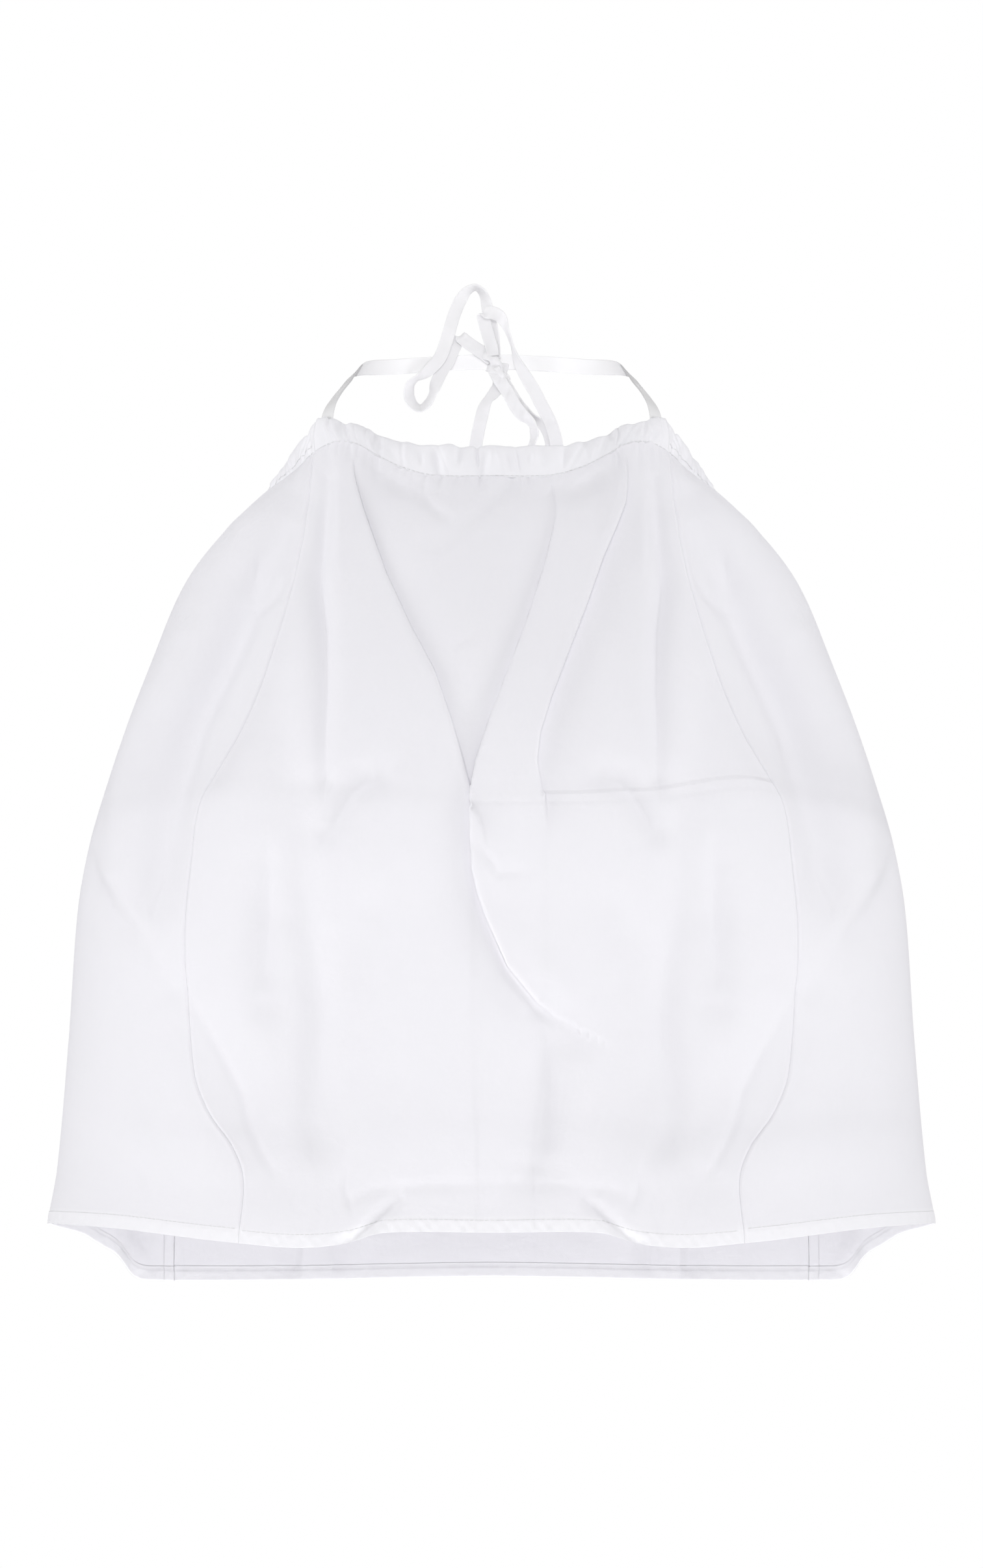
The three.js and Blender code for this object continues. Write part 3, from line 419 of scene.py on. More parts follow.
def smoothRoute(stations, steps):
    # Centripetal curve through the stations
    stations = np.asarray(stations, float)
    ends = np.vstack([2 * stations[0] - stations[1], stations, 2 * stations[-1] - stations[-2]])
    pieces = []
    for i in range(1, len(ends) - 2):
        p = ends[i - 1:i + 3]
        gaps = np.maximum(np.linalg.norm(np.diff(p, axis=0), axis=1) ** 0.5, 1e-4)
        knots = np.concatenate([[0], np.cumsum(gaps)])
        t = np.linspace(knots[1], knots[2], steps + 1)[:, None]
        if i < len(ends) - 3:
            t = t[:-1]
        a = [((knots[k + 1] - t) * p[k] + (t - knots[k]) * p[k + 1]) / gaps[k] for k in range(3)]
        b = [((knots[k + 2] - t) * a[k] + (t - knots[k]) * a[k + 1]) / (knots[k + 2] - knots[k])
             for k in range(2)]
        pieces.append(((knots[2] - t) * b[0] + (t - knots[1]) * b[1]) / gaps[1])
    return np.vstack(pieces)


def spread(values, steps):
    # Values at the stations, read in straight lines between them, at the route's steps
    values = np.asarray(values, float)
    at = np.linspace(0, len(values) - 1, (len(values) - 1) * steps + 1)
    i = np.minimum(at.astype(int), len(values) - 2)
    t = (at - i)[:, None]
    return values[i] * (1 - t) + values[i + 1] * t


def tapeSection(size):
    across = np.array(tapeProfile["across"])
    width, halfThick, roll = size["width"], size["thick"] / 2, size["edgeRoll"]
    half = halfThick * np.array(tapeProfile["half"])
    half = half * (1 - roll) + roll * halfThick * (np.abs(across) < across[-1])
    upper = np.stack([across * width, half], 1)
    lower = np.stack([across[-2:0:-1] * width, -half[-2:0:-1]], 1)
    return np.vstack([upper, lower])


def tapeRipple(size, across, lengths, seed, wrinkle):
    # Small dents along the two edges, as cut and turned tape has, and slanting wrinkles near the knot, where
    # the tape is pulled tight
    starts = np.random.default_rng(seed).uniform(0, math.tau, 5)
    edge = across / size["width"] * 2
    wave = (np.sin(lengths / tapeWaves["left"] + starts[0]) * np.clip(edge, 0, 1) ** 2
            + np.sin(lengths / tapeWaves["right"] + starts[1]) * np.clip(-edge, 0, 1) ** 2
            + tapeWaves["middleShare"] * np.sin(lengths / tapeWaves["middle"] + starts[2])
            * (1 - np.abs(edge)))
    tight = np.clip(tapeWaves["tightFrom"] - lengths / size["tightLength"], 0, 1)
    fine, coarse = (np.sin(lengths / tapeWaves[name][0] + tapeWaves[name][1] * edge + start)
                    for name, start in (("fine", starts[3]), ("coarse", starts[4])))
    return wave * size["ripple"] + wrinkle * tight * (fine + tapeWaves["coarseShare"] * coarse)


def tapePiece(name, node, stations, widths, size, seed=None, wrinkle=0.0, tones=None):
    route = smoothRoute(stations, size["steps"])
    wide = unit(spread(widths, size["steps"]))
    along = unit(np.gradient(route, axis=0))
    wide = unit(wide - along * (wide * along).sum(1, keepdims=True))
    face = np.cross(wide, along)
    section = tapeSection(size)
    lengths = lengthAlong(route)
    points = (route[:, None] + section[None, :, :1] * wide[:, None]
              + section[None, :, 1:] * face[:, None])
    if seed is not None:
        points = points + face[:, None] * tapeRipple(size, section[None, :, :1], lengths[:, None, None], seed,
                                                     wrinkle)
    rows, columns = points.shape[:2]
    cut = np.stack(np.broadcast_arrays(section[None, :, 0], lengths[:, None]), -1).reshape(-1, 2)
    # With tones given, this mask is painted shade and a painted highlight along the tape, as on the strap;
    # otherwise the tape is half way to its doubled tone.
    layersAndPaintedShade = 0.5 if tones is None else np.repeat(tones(route), columns)
    piece = meshPiece(name, points.reshape(-1, 3), tubeFaces(rows, columns), cut, layersAndPaintedShade, size["material"],
                      node)
    return piece, lengths[-1]


# Cords first: the five strands of the tie. Each starts at the knot.
strandFacts = {
    "tie_left_loop": {"piece": "leftLoop", "farEnd": "object", "wrinkle": 0.1},
    "tie_right_loop": {"piece": "rightLoop", "farEnd": "bare", "wrinkle": 0.1},
    "tie_left_feed": {"piece": "leftFeed", "farEnd": "object", "wrinkle": 0.5},
    "tie_right_feed": {"piece": "rightFeed", "farEnd": "object", "wrinkle": 0.4},
    "tie_left_tail": {"piece": "leftTail", "farEnd": "bare", "wrinkle": 0.1},
}
for count, (node, rows) in enumerate(tieStrands.items()):
    facts = strandFacts[node]
    table = np.array(rows, float)
    across, lean = np.radians(table[:, 3]), np.radians(table[:, 4])
    widths = np.stack([np.cos(across) * np.cos(lean), -np.sin(lean), np.sin(across) * np.cos(lean)], 1)
    strand, length = tapePiece(facts["piece"], node, table[:, :3], widths, tape, tape["seed"] + count,
                               facts["wrinkle"])
print("halter top: tie strands")


# The strap: a smooth ribbon, the same on both sides of the nape. Its satin has painted shade, dark where it
# turns edge on at the bend at the shoulder, which fades along the legs, and a painted highlight that makes it
# lighter towards the nape.
strapShadeFade = {"x": 86.0, "drop": 10.0, "legFade": 46.0, "legLight": 0.8, "backFade": 40.0, "backStart": 0.55}


# Painted shade and painted highlight along the strap: 0 gives the satin's dark painted shade at the bend, 1
# its painted highlight at the nape.
def strapPaintedShade(route):
    x = np.abs(route[:, 0])
    leg = np.clip((-route[:, 2] - strapShadeFade["drop"]) / strapShadeFade["legFade"], 0, 1) * strapShadeFade["legLight"]
    back = np.clip((strapShadeFade["x"] - x) / strapShadeFade["backFade"], 0, 1)
    back = strapShadeFade["backStart"] + (1 - strapShadeFade["backStart"]) * back
    return np.where(x > strapShadeFade["x"], leg, back)


def makeStrap():
    right = np.array(strapRoute, float)
    left = right[::-1] * np.array([-1, 1, 1, -1, 1, 1])
    both = np.vstack([right, [[0, 0, 0, 0, 1, 0]], left])
    along = unit(np.gradient(both[:, :3], axis=0))
    widths = np.cross(along, both[:, 3:])
    piece, length = tapePiece("neckStrap", "neck_strap", both[:, :3], unit(widths), strap, tones=strapPaintedShade)


makeStrap()


# The knot: the tapes twisted round each other over the strap, slanting down to the wearer's left
knot = {
    "centre": (2.2, 0.0, -1.4), "slant": (0.572, -0.82), "halfLength": 14.0, "halfWidth": 4.9, "front": 5.9,
    "back": 2.5, "endSize": 0.34, "endPower": 2.4, "sides": 56, "rings": 50,
    "lobe": 1.6, "lobeLength": 8.6, "lobeStart": 0.9, "farLobe": -0.6,
    "pleat": 1.2, "pleats": ((1.0, 3, 2.1, 0.0), (0.6, 5, -3.3, 1.2)),        # share, turns, length, start
    "sidePower": 0.8, "depthPower": 0.75, "weaveAround": 5, "doubledAndPaintedLight": 0.4,
}


def makeKnot():
    turns = np.linspace(0, math.tau, knot["sides"], endpoint=False)[None, :]
    along = np.linspace(-1, 1, knot["rings"])[:, None]
    place = along * knot["halfLength"]
    size = knot["endSize"] + (1 - knot["endSize"]) * (1 - np.abs(along) ** knot["endPower"])
    lobes = knot["lobe"] * np.sin(math.tau * place / knot["lobeLength"] + knot["lobeStart"])
    # Pleats wind round the bundle, where the two tapes cross
    pleats = knot["pleat"] * sum(share * np.sin(count * turns + place / length + start)
                                 for share, count, length, start in knot["pleats"])
    side, depth = np.sin(turns), np.cos(turns)
    reach = knot["halfWidth"] * size + lobes * np.where(side < 0, 1.0, knot["farLobe"]) * size
    thick = np.where(depth < 0, knot["front"], knot["back"]) * size
    across = np.sign(side) * np.abs(side) ** knot["sidePower"] * reach + pleats * side
    toBack = np.sign(depth) * np.abs(depth) ** knot["depthPower"] * thick + pleats * depth
    slant = np.array([knot["slant"][0], 0, knot["slant"][1]])
    level = np.array([-knot["slant"][1], 0, knot["slant"][0]])
    points = (np.array(knot["centre"]) + place[..., None] * slant + across[..., None] * level
              + toBack[..., None] * np.array([0, 1.0, 0]))
    rows, columns = points.shape[:2]
    cut = np.stack(np.broadcast_arrays(turns * knot["weaveAround"], place), -1).reshape(-1, 2)
    meshPiece("tieKnot", points.reshape(-1, 3), tubeFaces(rows, columns), cut, knot["doubledAndPaintedLight"], tapeCloth,
              "tie_knot")


makeKnot()
print("halter top: strap and knot")


# The worn form of the body of the top
axisFromNape = -45.0
bodySections = {
    "drop": [0, 40, 62, 84, 106, 119, 148, 190, 232, 274, 316, 358, 442, 526, 560, 612],
    "halfWidth": [112, 132, 149, 168, 182, 187.5, 200.5, 216.8, 233, 247.5, 260, 267.5, 273.5, 281, 287, 292],
    "front": [60, 76, 84, 95, 108, 115, 127, 141, 149, 152, 152, 150, 150, 154, 158, 160],
    "back": [40, 48, 58, 66, 76, 82, 93, 103, 114, 122, 128, 133, 139, 145, 148, 151],
}
casingEdges = {
    "angle": [0, 17, 27, 34, 42, 49, 55, 59, 65, 72, 79, 88, 98, 110, 124, 142, 160, 180],
    "x": [0, 37, 60, 76, 90, 102, 111, 117.5, 126.5, 135, 142, 149, 155, 152, 132, 102, 62, 0],
    "y": [-128, -126, -120, -113, -105, -98, -90, -79, -62, -45, -29, -10, 12, 33, 48, 57, 62, 64],
    "drop": [62, 61, 58.5, 51.5, 45.5, 43, 42, 49.5, 60, 71, 82, 98, 122, 150, 174, 191, 202, 206],
    "lowX": [0, 37, 58, 73, 87, 100, 112.5, 118.5, 126, 138, 147, 155, 162, 160, 136, 105, 64, 0],
    "lowY": [-133, -131, -125.5, -118.5, -110, -102, -93.5, -84, -69, -53, -36,
         -15, 9, 34, 51, 60.5, 65.5, 67.5],
    "lowDrop": [82, 81.5, 75.5, 67.5, 59.5, 58.5, 64.5, 69.5, 76, 85, 96.5, 112,
         136, 164, 190, 207, 218, 222],
}
frontSeam = {
    "share": [0, 0.03, 0.08, 0.14, 0.2, 0.3, 0.36, 0.41, 0.45, 0.52, 0.68, 0.79, 0.84, 0.88, 0.92, 1],
    "angle": [55, 46.5, 41.3, 39.4, 38.8, 40, 41.8, 44.8, 47.4, 46.6, 45.6, 43.2, 40, 36, 33.8, 33.5],
}
backSeam = {"share": [0, 0.5, 1], "angle": [132, 131, 133.5]}
hemLine = {
    "angle": [0, 13.5, 18.5, 25, 33.5, 55, 75, 90, 101, 111, 116.5, 121, 125.5, 131, 152, 180],
    "drop": [556, 556.5, 563.5, 566.5, 564.5, 558.5, 559, 561.5, 566, 572, 580, 588, 603, 606.5, 609, 608],
}
blend = {"share": 0.17, "power": 6}

# Main folds, then the smaller creases: name, where, lift, left, right and line. A line is x and drop; lift is
# out of the cloth at the line, and left and right say how far it reaches, seen from outside with the line
# running down. A lapped fold ends with roll and lap: roll raises the edge on the steep side, and lap draws
# that edge over the hollow, to the left, or to the right if negative.
folds = [
    ("crossing fold from the left", "front", -3.4, 1.8, 20, [(-97, 54), (-94, 62.3), (-89.7, 80.7),
     (-83.3, 99.8), (-67.5, 143.6), (-52, 176.7), (-36.7, 205.1), (-25.9, 235.5), (-18.1, 261.4),
     (-11, 286)], 0.4, -3.2),
    ("crossing fold from the right", "front", -4.6, 18, 1.8, [(46, 76), (42.1, 104.7), (34.9, 135),
     (24, 170.2), (13.1, 199.9), (0.9, 231.2), (-8.6, 259.3), (-13.3, 283), (-12.5, 309), (-11.2, 330.6),
     (-7.7, 345.7), (-1.7, 363), (10.9, 391.1), (29.5, 414), (41.2, 423.6), (52, 429)], 0.3, 3.2),
    ("soft fold from the right corner", "front", -4.5, 2.0, 18, [(96, 54), (92.8, 65.1), (85.7, 98.8),
     (69.9, 134.8), (58.8, 165.7), (46.9, 196.4), (36.9, 222.5), (30.3, 244.1), (28.6, 261.4), (31.6, 280)],
     0.3, -3),
    ("hollow under the crossing", "front", -5, 19, 17, [(38, 424), (34, 448), (33, 478), (29, 512)]),
    ("upright hollow beside the seam", "front, both sides", -5, 7, 9, [(103, 84), (106, 116), (111, 144),
     (106, 177), (105, 199), (105, 275)]),
    ("crescent under the bust", "front, both sides", -4.2, 8, 10, [(71, 272), (82, 275), (90, 281),
     (97, 294), (103, 306)]),
    ("outer upright hollow", "front, both sides", -4.4, 12, 12, [(144, 330), (144, 372), (143, 413)]),
    ("inner upright hollow", "front, both sides", -4.4, 11, 11, [(117, 279), (116, 350), (111, 418),
     (113, 500)]),
    ("low slanting fold", "front, both sides", -4.4, 21, 18, [(196, 410), (187, 427), (174, 448),
     (160, 472), (154, 492), (146, 507), (138, 520)]),
    ("long hollow of the side", "front, both sides", -12, 15, 13, [(128, 95), (142, 130), (159, 167),
     (177, 204), (196, 244), (205, 290), (212, 330)]),
    ("underarm fold", "front, both sides", -4.2, 8, 9, [(262, 325), (256, 341), (247, 356), (234, 369)]),
    ("back hollow below the casing", "back, both sides", -6, 13, 15, [(58, 225), (70, 330), (84, 470),
     (100, 604)]),
    ("back pleat", "back, both sides", -6, 12, 8, [(112, 330), (122, 400), (128, 500), (131, 606)]),
    ("back side hollow", "back, both sides", -7, 13, 13, [(140, 190), (176, 300), (196, 400), (205, 500)]),
    ("middle fold of the back", "back", -4, 12, 9, [(-14, 226), (-8, 300), (4, 380), (10, 470)]),
    ("long fold of the back", "back", -4, 9, 12, [(34, 224), (26, 290), (20, 350), (22, 420)]),
    ("slanting fold of the back", "back, both sides", -4, 8, 11, [(100, 210), (112, 260), (132, 320),
     (160, 380)]),
]
creases = [
    ("outer edge of the back hem fold", "back, both sides", 2.6, 1.8, 14, [(130, 548), (131.5, 575),
     (130.5, 595), (129.5, 611)]),
    ("turn of the hem at the side", "back, both sides", -3.2, 9, 18, [(251, 552), (246, 568), (239, 588),
     (232, 604)]),
    ("inner edge of the back hem fold", "back, both sides", 2.2, 13, 1.8, [(103, 556), (105.5, 580),
     (106.5, 596), (108, 611)]),
    ("line in the upright hollow", "front, both sides", -2, 2.6, 4, [(105.7, 82.6), (108.3, 112),
     (110, 156.5), (106.6, 182.9), (105.1, 217.9), (105.8, 244), (105.3, 276)]),
    ("ridge beside it", "front, both sides", 1.1, 4, 3, [(98.4, 66.8), (98.5, 89.6), (97.6, 121.1),
     (96, 143.4)]),
    ("edge of the crescent", "front, both sides", -0.8, 3, 3, [(64.8, 272.2), (77.8, 275.3), (86.5, 280.9),
     (95.2, 293.9), (99.6, 302.6), (107.4, 308.2)]),
    ("hook under the arm", "front, both sides", -3, 4, 4.5, [(128, 118), (131.4, 146.4), (138, 158.2),
     (146.8, 164.7), (157.2, 168.1)]),
    ("drag above the hook", "front, both sides", -1.5, 4, 4, [(148.8, 129), (157.6, 142.2),
     (160.6, 155.5)]),
    ("broad band of the side", "front, both sides", -7.5, 15, 11, [(160.6, 151), (171, 182), (184.7, 208),
     (200, 239), (211, 270), (217.7, 310), (217.4, 345)]),
    ("ridge outside the band", "front, both sides", 4.6, 9, 9, [(198.5, 181), (210.6, 208), (222.8, 234),
     (233, 265.5), (239, 296.5), (242, 332)]),
    ("underarm fold runs on", "front, both sides", -1.2, 5, 6, [(258, 326), (243, 351.7), (234.5, 361.7),
     (219.6, 377.6), (205.8, 401.4), (193.2, 418.7)]),
    ("edge of the low fold", "front, both sides", -1.5, 3, 3.5, [(194, 406), (185, 425), (172.6, 445.7),
     (159.2, 470.7), (153.8, 491.4), (146.3, 507.2), (137.9, 519.6)]),
    ("pocket under the casing", "front, both sides", -4, 6, 7, [(75.6, 75.5), (65.8, 83.3), (54.7, 89.3),
     (42.9, 91.2)]),
    ("tail of the pocket", "front, both sides", -1, 3, 3, [(66, 67.5), (52.6, 81.2), (37.2, 90.3)]),
    ("soft upright", "front, both sides", -3, 14, 14, [(135, 217.7), (130.4, 252.6), (128.1, 287.4),
     (132.4, 322.2), (134.6, 356.9)]),
    ("low soft upright", "front, both sides", -2.5, 16, 12, [(82.2, 356.7), (95.3, 378.4), (104, 408.8),
     (110.5, 447.8), (113.5, 491.1)]),
    ("outer thin upright", "front, both sides", -1.5, 5, 5, [(141.2, 313.5), (142.1, 352.7),
     (143.4, 396.1)]),
    ("arch over the hem", "front, both sides", -0.8, 3, 3, [(90.8, 537.4), (73.4, 530.3), (38.8, 527.5),
     (-2, 525.7)]),
    ("tuck at the hem", "front, both sides", -2.6, 3, 4, [(57.4, 536.2), (64.7, 543.1), (73.4, 550.9),
     (84.2, 559.6), (91.6, 563.1)]),
    ("arc above the tuck", "front, both sides", -1, 3, 3, [(90.8, 516.7), (92.1, 529.7), (88.6, 540.4)]),
    ("small arc at the side", "front, both sides", -0.9, 2.5, 2.5, [(223.6, 517.8), (219, 526.3),
     (218, 538)]),
    ("upper drag of the bib", "front", -2.2, 7, 5, [(22.9, 67.9), (11, 85.9), (-4.3, 103.9), (-19.6, 119.5),
     (-33.9, 128.8)]),
    ("lower drag of the bib", "front", -1.5, 9, 9, [(18.5, 79.1), (4.4, 106.2), (-10.8, 128.4),
     (-26, 143.9), (-39, 157)]),
    ("hook in the bib", "front", -1.8, 4, 4, [(-44.6, 94.8), (-37.1, 102.9), (-28.3, 109.2)]),
    ("nick in the bib", "front", -0.9, 2, 2, [(-21.6, 190.8), (-16.4, 187.7), (-7.7, 186)]),
    ("second nick", "front", -0.5, 2, 2, [(-15.1, 183.4), (-8.6, 181.6), (-2.1, 178.1)]),
    ("low crease of the bib", "front", -0.9, 3, 3, [(-8.6, 313.3), (4.4, 332.7), (21.7, 330.6)]),
    ("groove under the lap", "front", -1.3, 3, 1.6, [(-16, 290), (-15, 312), (-13.3, 331), (-9.7, 347),
     (-3.6, 365), (8.4, 393), (27, 416.5), (39, 426.5)]),
    ("hollow below the lap", "front", -2.5, 8, 6, [(28.2, 421.4), (34.7, 443), (36.8, 468.9), (34.6, 494.8),
     (28.2, 514.1)]),
    ("soft rise beside the lap", "front", 1.2, 9, 12, [(26, 205), (20, 240), (14, 275), (9, 305),
     (4, 330)]),
    ("raised wedge of the lap", "front", 0.6, 8, 8, [(8, 360), (26, 386), (46, 406), (60.6, 420)]),
]


def foldRow(name, where, lift, left, right, line, roll=0.0, lap=0.0):
    return {"name": name, "both": "both" in where, "behind": "back" in where, "lift": lift, "left": left,
            "right": right, "line": line, "roll": roll, "lap": lap}


folds, creases = ([foldRow(*row) for row in rows] for rows in (folds, creases))
foldEnds, foldTaper, foldFade = 0.06, 0.4, 3.0
sideFade = 34.0                  # folds of the front and of the back die out this near the side
lipPlace = 1.5                   # where a lap's edge lies, in reaches of its steep side


def formPoint(angle, drop):
    turn = np.radians(angle)
    halfWidth = readTable(bodySections, "drop", drop, "halfWidth")
    depth = np.where(np.cos(turn) > 0, readTable(bodySections, "drop", drop, "front"),
                     readTable(bodySections, "drop", drop, "back"))
    return np.stack([halfWidth * np.sin(turn), axisFromNape - depth * np.cos(turn), -drop + 0 * turn], -1)


def outward(point, drop):
    # The way out of the form, level with the ground
    halfWidth = readTable(bodySections, "drop", drop, "halfWidth")
    behind = point[..., 1] - axisFromNape
    depth = np.where(behind < 0, readTable(bodySections, "drop", drop, "front"),
                     readTable(bodySections, "drop", drop, "back"))
    return unit(np.stack([point[..., 0] / halfWidth**2, behind / depth**2, 0 * behind], -1))


def nearLine(line, x, drop):
    # Distance from a line, which side of it, and how far along it the nearest place is
    nearest = np.full(x.shape, np.inf)
    side = np.ones(x.shape)
    along = np.zeros(x.shape)
    for i, ((ax, ad), (bx, bd)) in enumerate(zip(line[:-1], line[1:])):
        dx, dd = bx - ax, bd - ad
        t = np.clip(((x - ax) * dx + (drop - ad) * dd) / (dx * dx + dd * dd), 0, 1)
        distance = np.hypot(x - ax - dx * t, drop - ad - dd * t)
        closer = distance < nearest
        nearest = np.where(closer, distance, nearest)
        side = np.where(closer, np.where(dx * (drop - ad) - dd * (x - ax) > 0, -1, 1), side)
        along = np.where(closer, (i + t) / (len(line) - 1), along)
    return nearest, side, along


def liftOf(rows, point):
    # How far folds or creases lift the cloth off the form at each point, and how far laps draw it to the left
    ahead = axisFromNape - point[..., 1]
    fade = np.clip(np.abs(ahead) / sideFade, 0, 1)
    fade = fade * fade * (3 - 2 * fade)
    total = np.zeros(ahead.shape)
    drawn = np.zeros(ahead.shape)
    for row in rows:
        x = np.abs(point[..., 0]) if row["both"] else point[..., 0]
        distance, side, along = nearLine(row["line"], x, -point[..., 2])
        reach = np.where(side < 0, row["left"], row["right"])
        taper = np.sin(math.pi * np.clip(along, foldEnds, 1 - foldEnds)) ** foldTaper
        share = distance / reach
        lift = row["lift"] * np.exp(-share**2)
        wanted = ((ahead > 0) != row["behind"]) & (share < foldFade)
        if row["lap"]:
            lip = np.exp(-(distance / min(row["left"], row["right"]) - lipPlace) ** 2) * wanted
            lip = lip * (side * row["lap"] > 0)
            lift = lift + row["roll"] * lip
            drawn = drawn + row["lap"] * lip * taper
        total = total + np.where(wanted, lift * taper, 0) * fade
    return total, drawn


middleBack = 179                 # degrees, from where the casing's edge is taken as straight across


def edgePoint(angle, columns):
    x, y, drop = (readTable(casingEdges, "angle", np.abs(angle), column) for column in columns)
    return np.stack([np.where(angle < 0, -x, x), y, -drop], -1)


def casingFrame(angle):
    # Upper and lower edge of the casing, the way down its face, and the way out of it
    edge = edgePoint(angle, ("x", "y", "drop"))
    lowColumns = ("lowX", "lowY", "lowDrop")
    low = edgePoint(angle, lowColumns)
    along = unit(edgePoint(angle + 1, lowColumns) - edgePoint(angle - 1, lowColumns))
    along = np.where(np.abs(angle)[..., None] > middleBack, np.array([-1.0, 0, 0]), along)
    down = unit(low - edge)
    return edge, low, down, unit(np.cross(down, along))


def wrapped(angle):
    return np.where(angle > 180, angle - 360, angle)


def frontAngle(share):
    return readTable(frontSeam, "share", share, "angle")


def backAngle(share):
    return readTable(backSeam, "share", share, "angle")


panels = {
    "front_panel": {"piece": "frontPanel", "columns": 400, "rows": 218, "seed": 3,
                    "edges": lambda share: (-frontAngle(share), frontAngle(share))},
    "side_panel_right": {"piece": "sidePanelRight", "columns": 170, "rows": 230, "seed": 5,
                         "edges": lambda share: (frontAngle(share), backAngle(share))},
    "back_panel": {"piece": "backPanel", "columns": 210, "rows": 190, "seed": 8,
                   "edges": lambda share: (backAngle(share), 360 - backAngle(share))},
    "side_panel_left": {"piece": "sidePanelLeft", "columns": 170, "rows": 230, "seed": 5,
                        "edges": lambda share: (-backAngle(share), -frontAngle(share))},
}
panelCut = {
    "nominalLength": 500.0, "nominalWidth": 460.0, "rowPower": 1.3, "allowance": 8.0,
    "seamGap": -1.2, "faceRise": 0.5,            # the cloth lies just inside the wall's outer face
    "hemDepth": 9.0, "hemRise": 0.2, "hemSoft": 0.35, "hemStitch": 8.0, "stitchDip": 0.15, "stitchWidth": 0.6,
    "seamDip": 0.6, "seamDipWidth": 0.8, "seamRidge": 0.2, "seamRidgeAt": 2.3, "seamRidgeWidth": 1.2,
}
# Close columns beside the seams and close rows at the hem, in millimetres from the edge
edgeMillimetres = np.array([0, 0.35, 0.8, 1.4, 2.1, 2.9, 3.9, 5.2, 6.7, 8.4])
hemMillimetres = np.array([8.5, 8.0, 7.5, 6.5, 5.2, 4.0, 2.8, 1.7, 0.8, 0.3, 0.0])
# The columns that the seam allowances follow and the rows that the turned hem follows, with their depths
turnedColumns, turnedDepth = np.array([1, 3, 5, 7, 9]), np.array([0.55, 0.75, 0.7, 0.5, 0.25])
hemRows = -1 - np.array([1, 2, 3, 4, 6, 8, 10, 11, 12])
hemUnder = np.array([0.75, 1.1, 1.1, 1.0, 0.9, 0.8, 0.65, 0.45, 0.25])
hemPucker = {"height": 0.24, "reach": 8.0, "fine": 1.25, "fineSlant": 0.35, "slow": 7.7, "coarse": 2.1,
             "coarseSlant": 0.22, "coarseShare": 0.6}
gatherSpread = {"step": (0.55, 1.5), "spare": 1.6, "slant": 5.5, "width": (0.9, 3.0), "depth": (0.4, 1.8),
                "top": (-0.5, 0.5), "bottom": (0.5, 1.4), "tail": (4, 15), "tailPower": 1.1}
gatherBelow = {"width": 0.8, "widening": 14.0, "depth": 0.9, "start": 1.2}


def gatherTable(length, spacing, seed):
    # Places, widths and depths of the gathers along a casing, uneven as hand-drawn-up cloth is
    dice = np.random.default_rng(seed)
    steps = dice.uniform(*gatherSpread["step"], int(length / spacing * gatherSpread["spare"])) * spacing
    places = np.cumsum(steps)
    places = places[places < length]
    count = len(places)
    slant = dice.normal(0, gatherSpread["slant"], count)
    even = {key: dice.uniform(*gatherSpread[key], count)
            for key in ("width", "depth", "top", "bottom", "tail")}
    return {**even, "place": places, "slant": slant, "tail": even["tail"] ** gatherSpread["tailPower"]}


casings = {
    "neck_casing": {"piece": "neckCasing", "panel": "front_panel", "spacing": 6.4, "seed": 21, "step": 0.5},
    "arm_casing_right": {"piece": "armCasingRight", "panel": "side_panel_right", "spacing": 5.0, "seed": 25,
                         "step": 0.6},
    "back_casing": {"piece": "backCasing", "panel": "back_panel", "spacing": 5.6, "seed": 29, "step": 0.7},
    "arm_casing_left": {"piece": "armCasingLeft", "panel": "side_panel_left", "spacing": 5.0, "seed": 25,
                        "step": 0.6, "mirror": True},
}


def casingLength(panel):
    start, end = panel["edges"](np.array(0.0))
    angles = wrapped(np.linspace(start, end, 200))
    low = casingFrame(angles)[1]
    return float(np.linalg.norm(np.diff(low, axis=0), axis=1).sum())


for node, casing in casings.items():
    casing["length"] = casingLength(panels[casing["panel"]])
    casing["gathers"] = gatherTable(casing["length"], casing["spacing"], casing["seed"])
    if casing.get("mirror"):
        casing["gathers"]["place"] = casing["length"] - casing["gathers"]["place"]
        casing["gathers"]["slant"] = -casing["gathers"]["slant"]
    panels[casing["panel"]]["gathers"] = casing["gathers"]
    panels[casing["panel"]]["topLength"] = casing["length"]


def clothPoint(casingAngle, girthAngle, hemAngle, share):
    # Middle surface of the cloth with its main folds and creases
    edge, low, down, _ = casingFrame(casingAngle)
    start = low + down * panelCut["seamGap"]
    hemDrop = readTable(hemLine, "angle", np.abs(hemAngle), "drop")
    drop = -start[..., 2] * (1 - share) + hemDrop * share
    pull = start - formPoint(casingAngle, -start[..., 2])
    hold = np.maximum(1 - share / blend["share"], 0) ** blend["power"]
    point = formPoint(girthAngle, drop)
    out = outward(point, drop)
    lift, drawn = liftOf(folds, point)
    lift = lift * (1 - hold)
    point = point + pull * hold[..., None]
    lift = lift + liftOf(creases, point)[0] * (1 - hold ** 2)
    return point + out * lift[..., None] + np.array([-1.0, 0, 0]) * (drawn * (1 - hold))[..., None]


def panelShares(count):
    # Rows from the casing to the hem, closer under the casing, with close rows at the hem's stitching
    length = panelCut["nominalLength"]
    hemShare = 1 - panelCut["hemDepth"] / length
    rows = hemShare * (np.arange(count) / (count - 1)) ** panelCut["rowPower"]
    return np.concatenate([rows, 1 - hemMillimetres / length])


def panelColumns(count):
    near = edgeMillimetres / panelCut["nominalWidth"]
    middle = np.linspace(near[-1], 1 - near[-1], count - 2 * len(near) + 2)
    return np.concatenate([near[:-1], middle, 1 - near[-2::-1]])


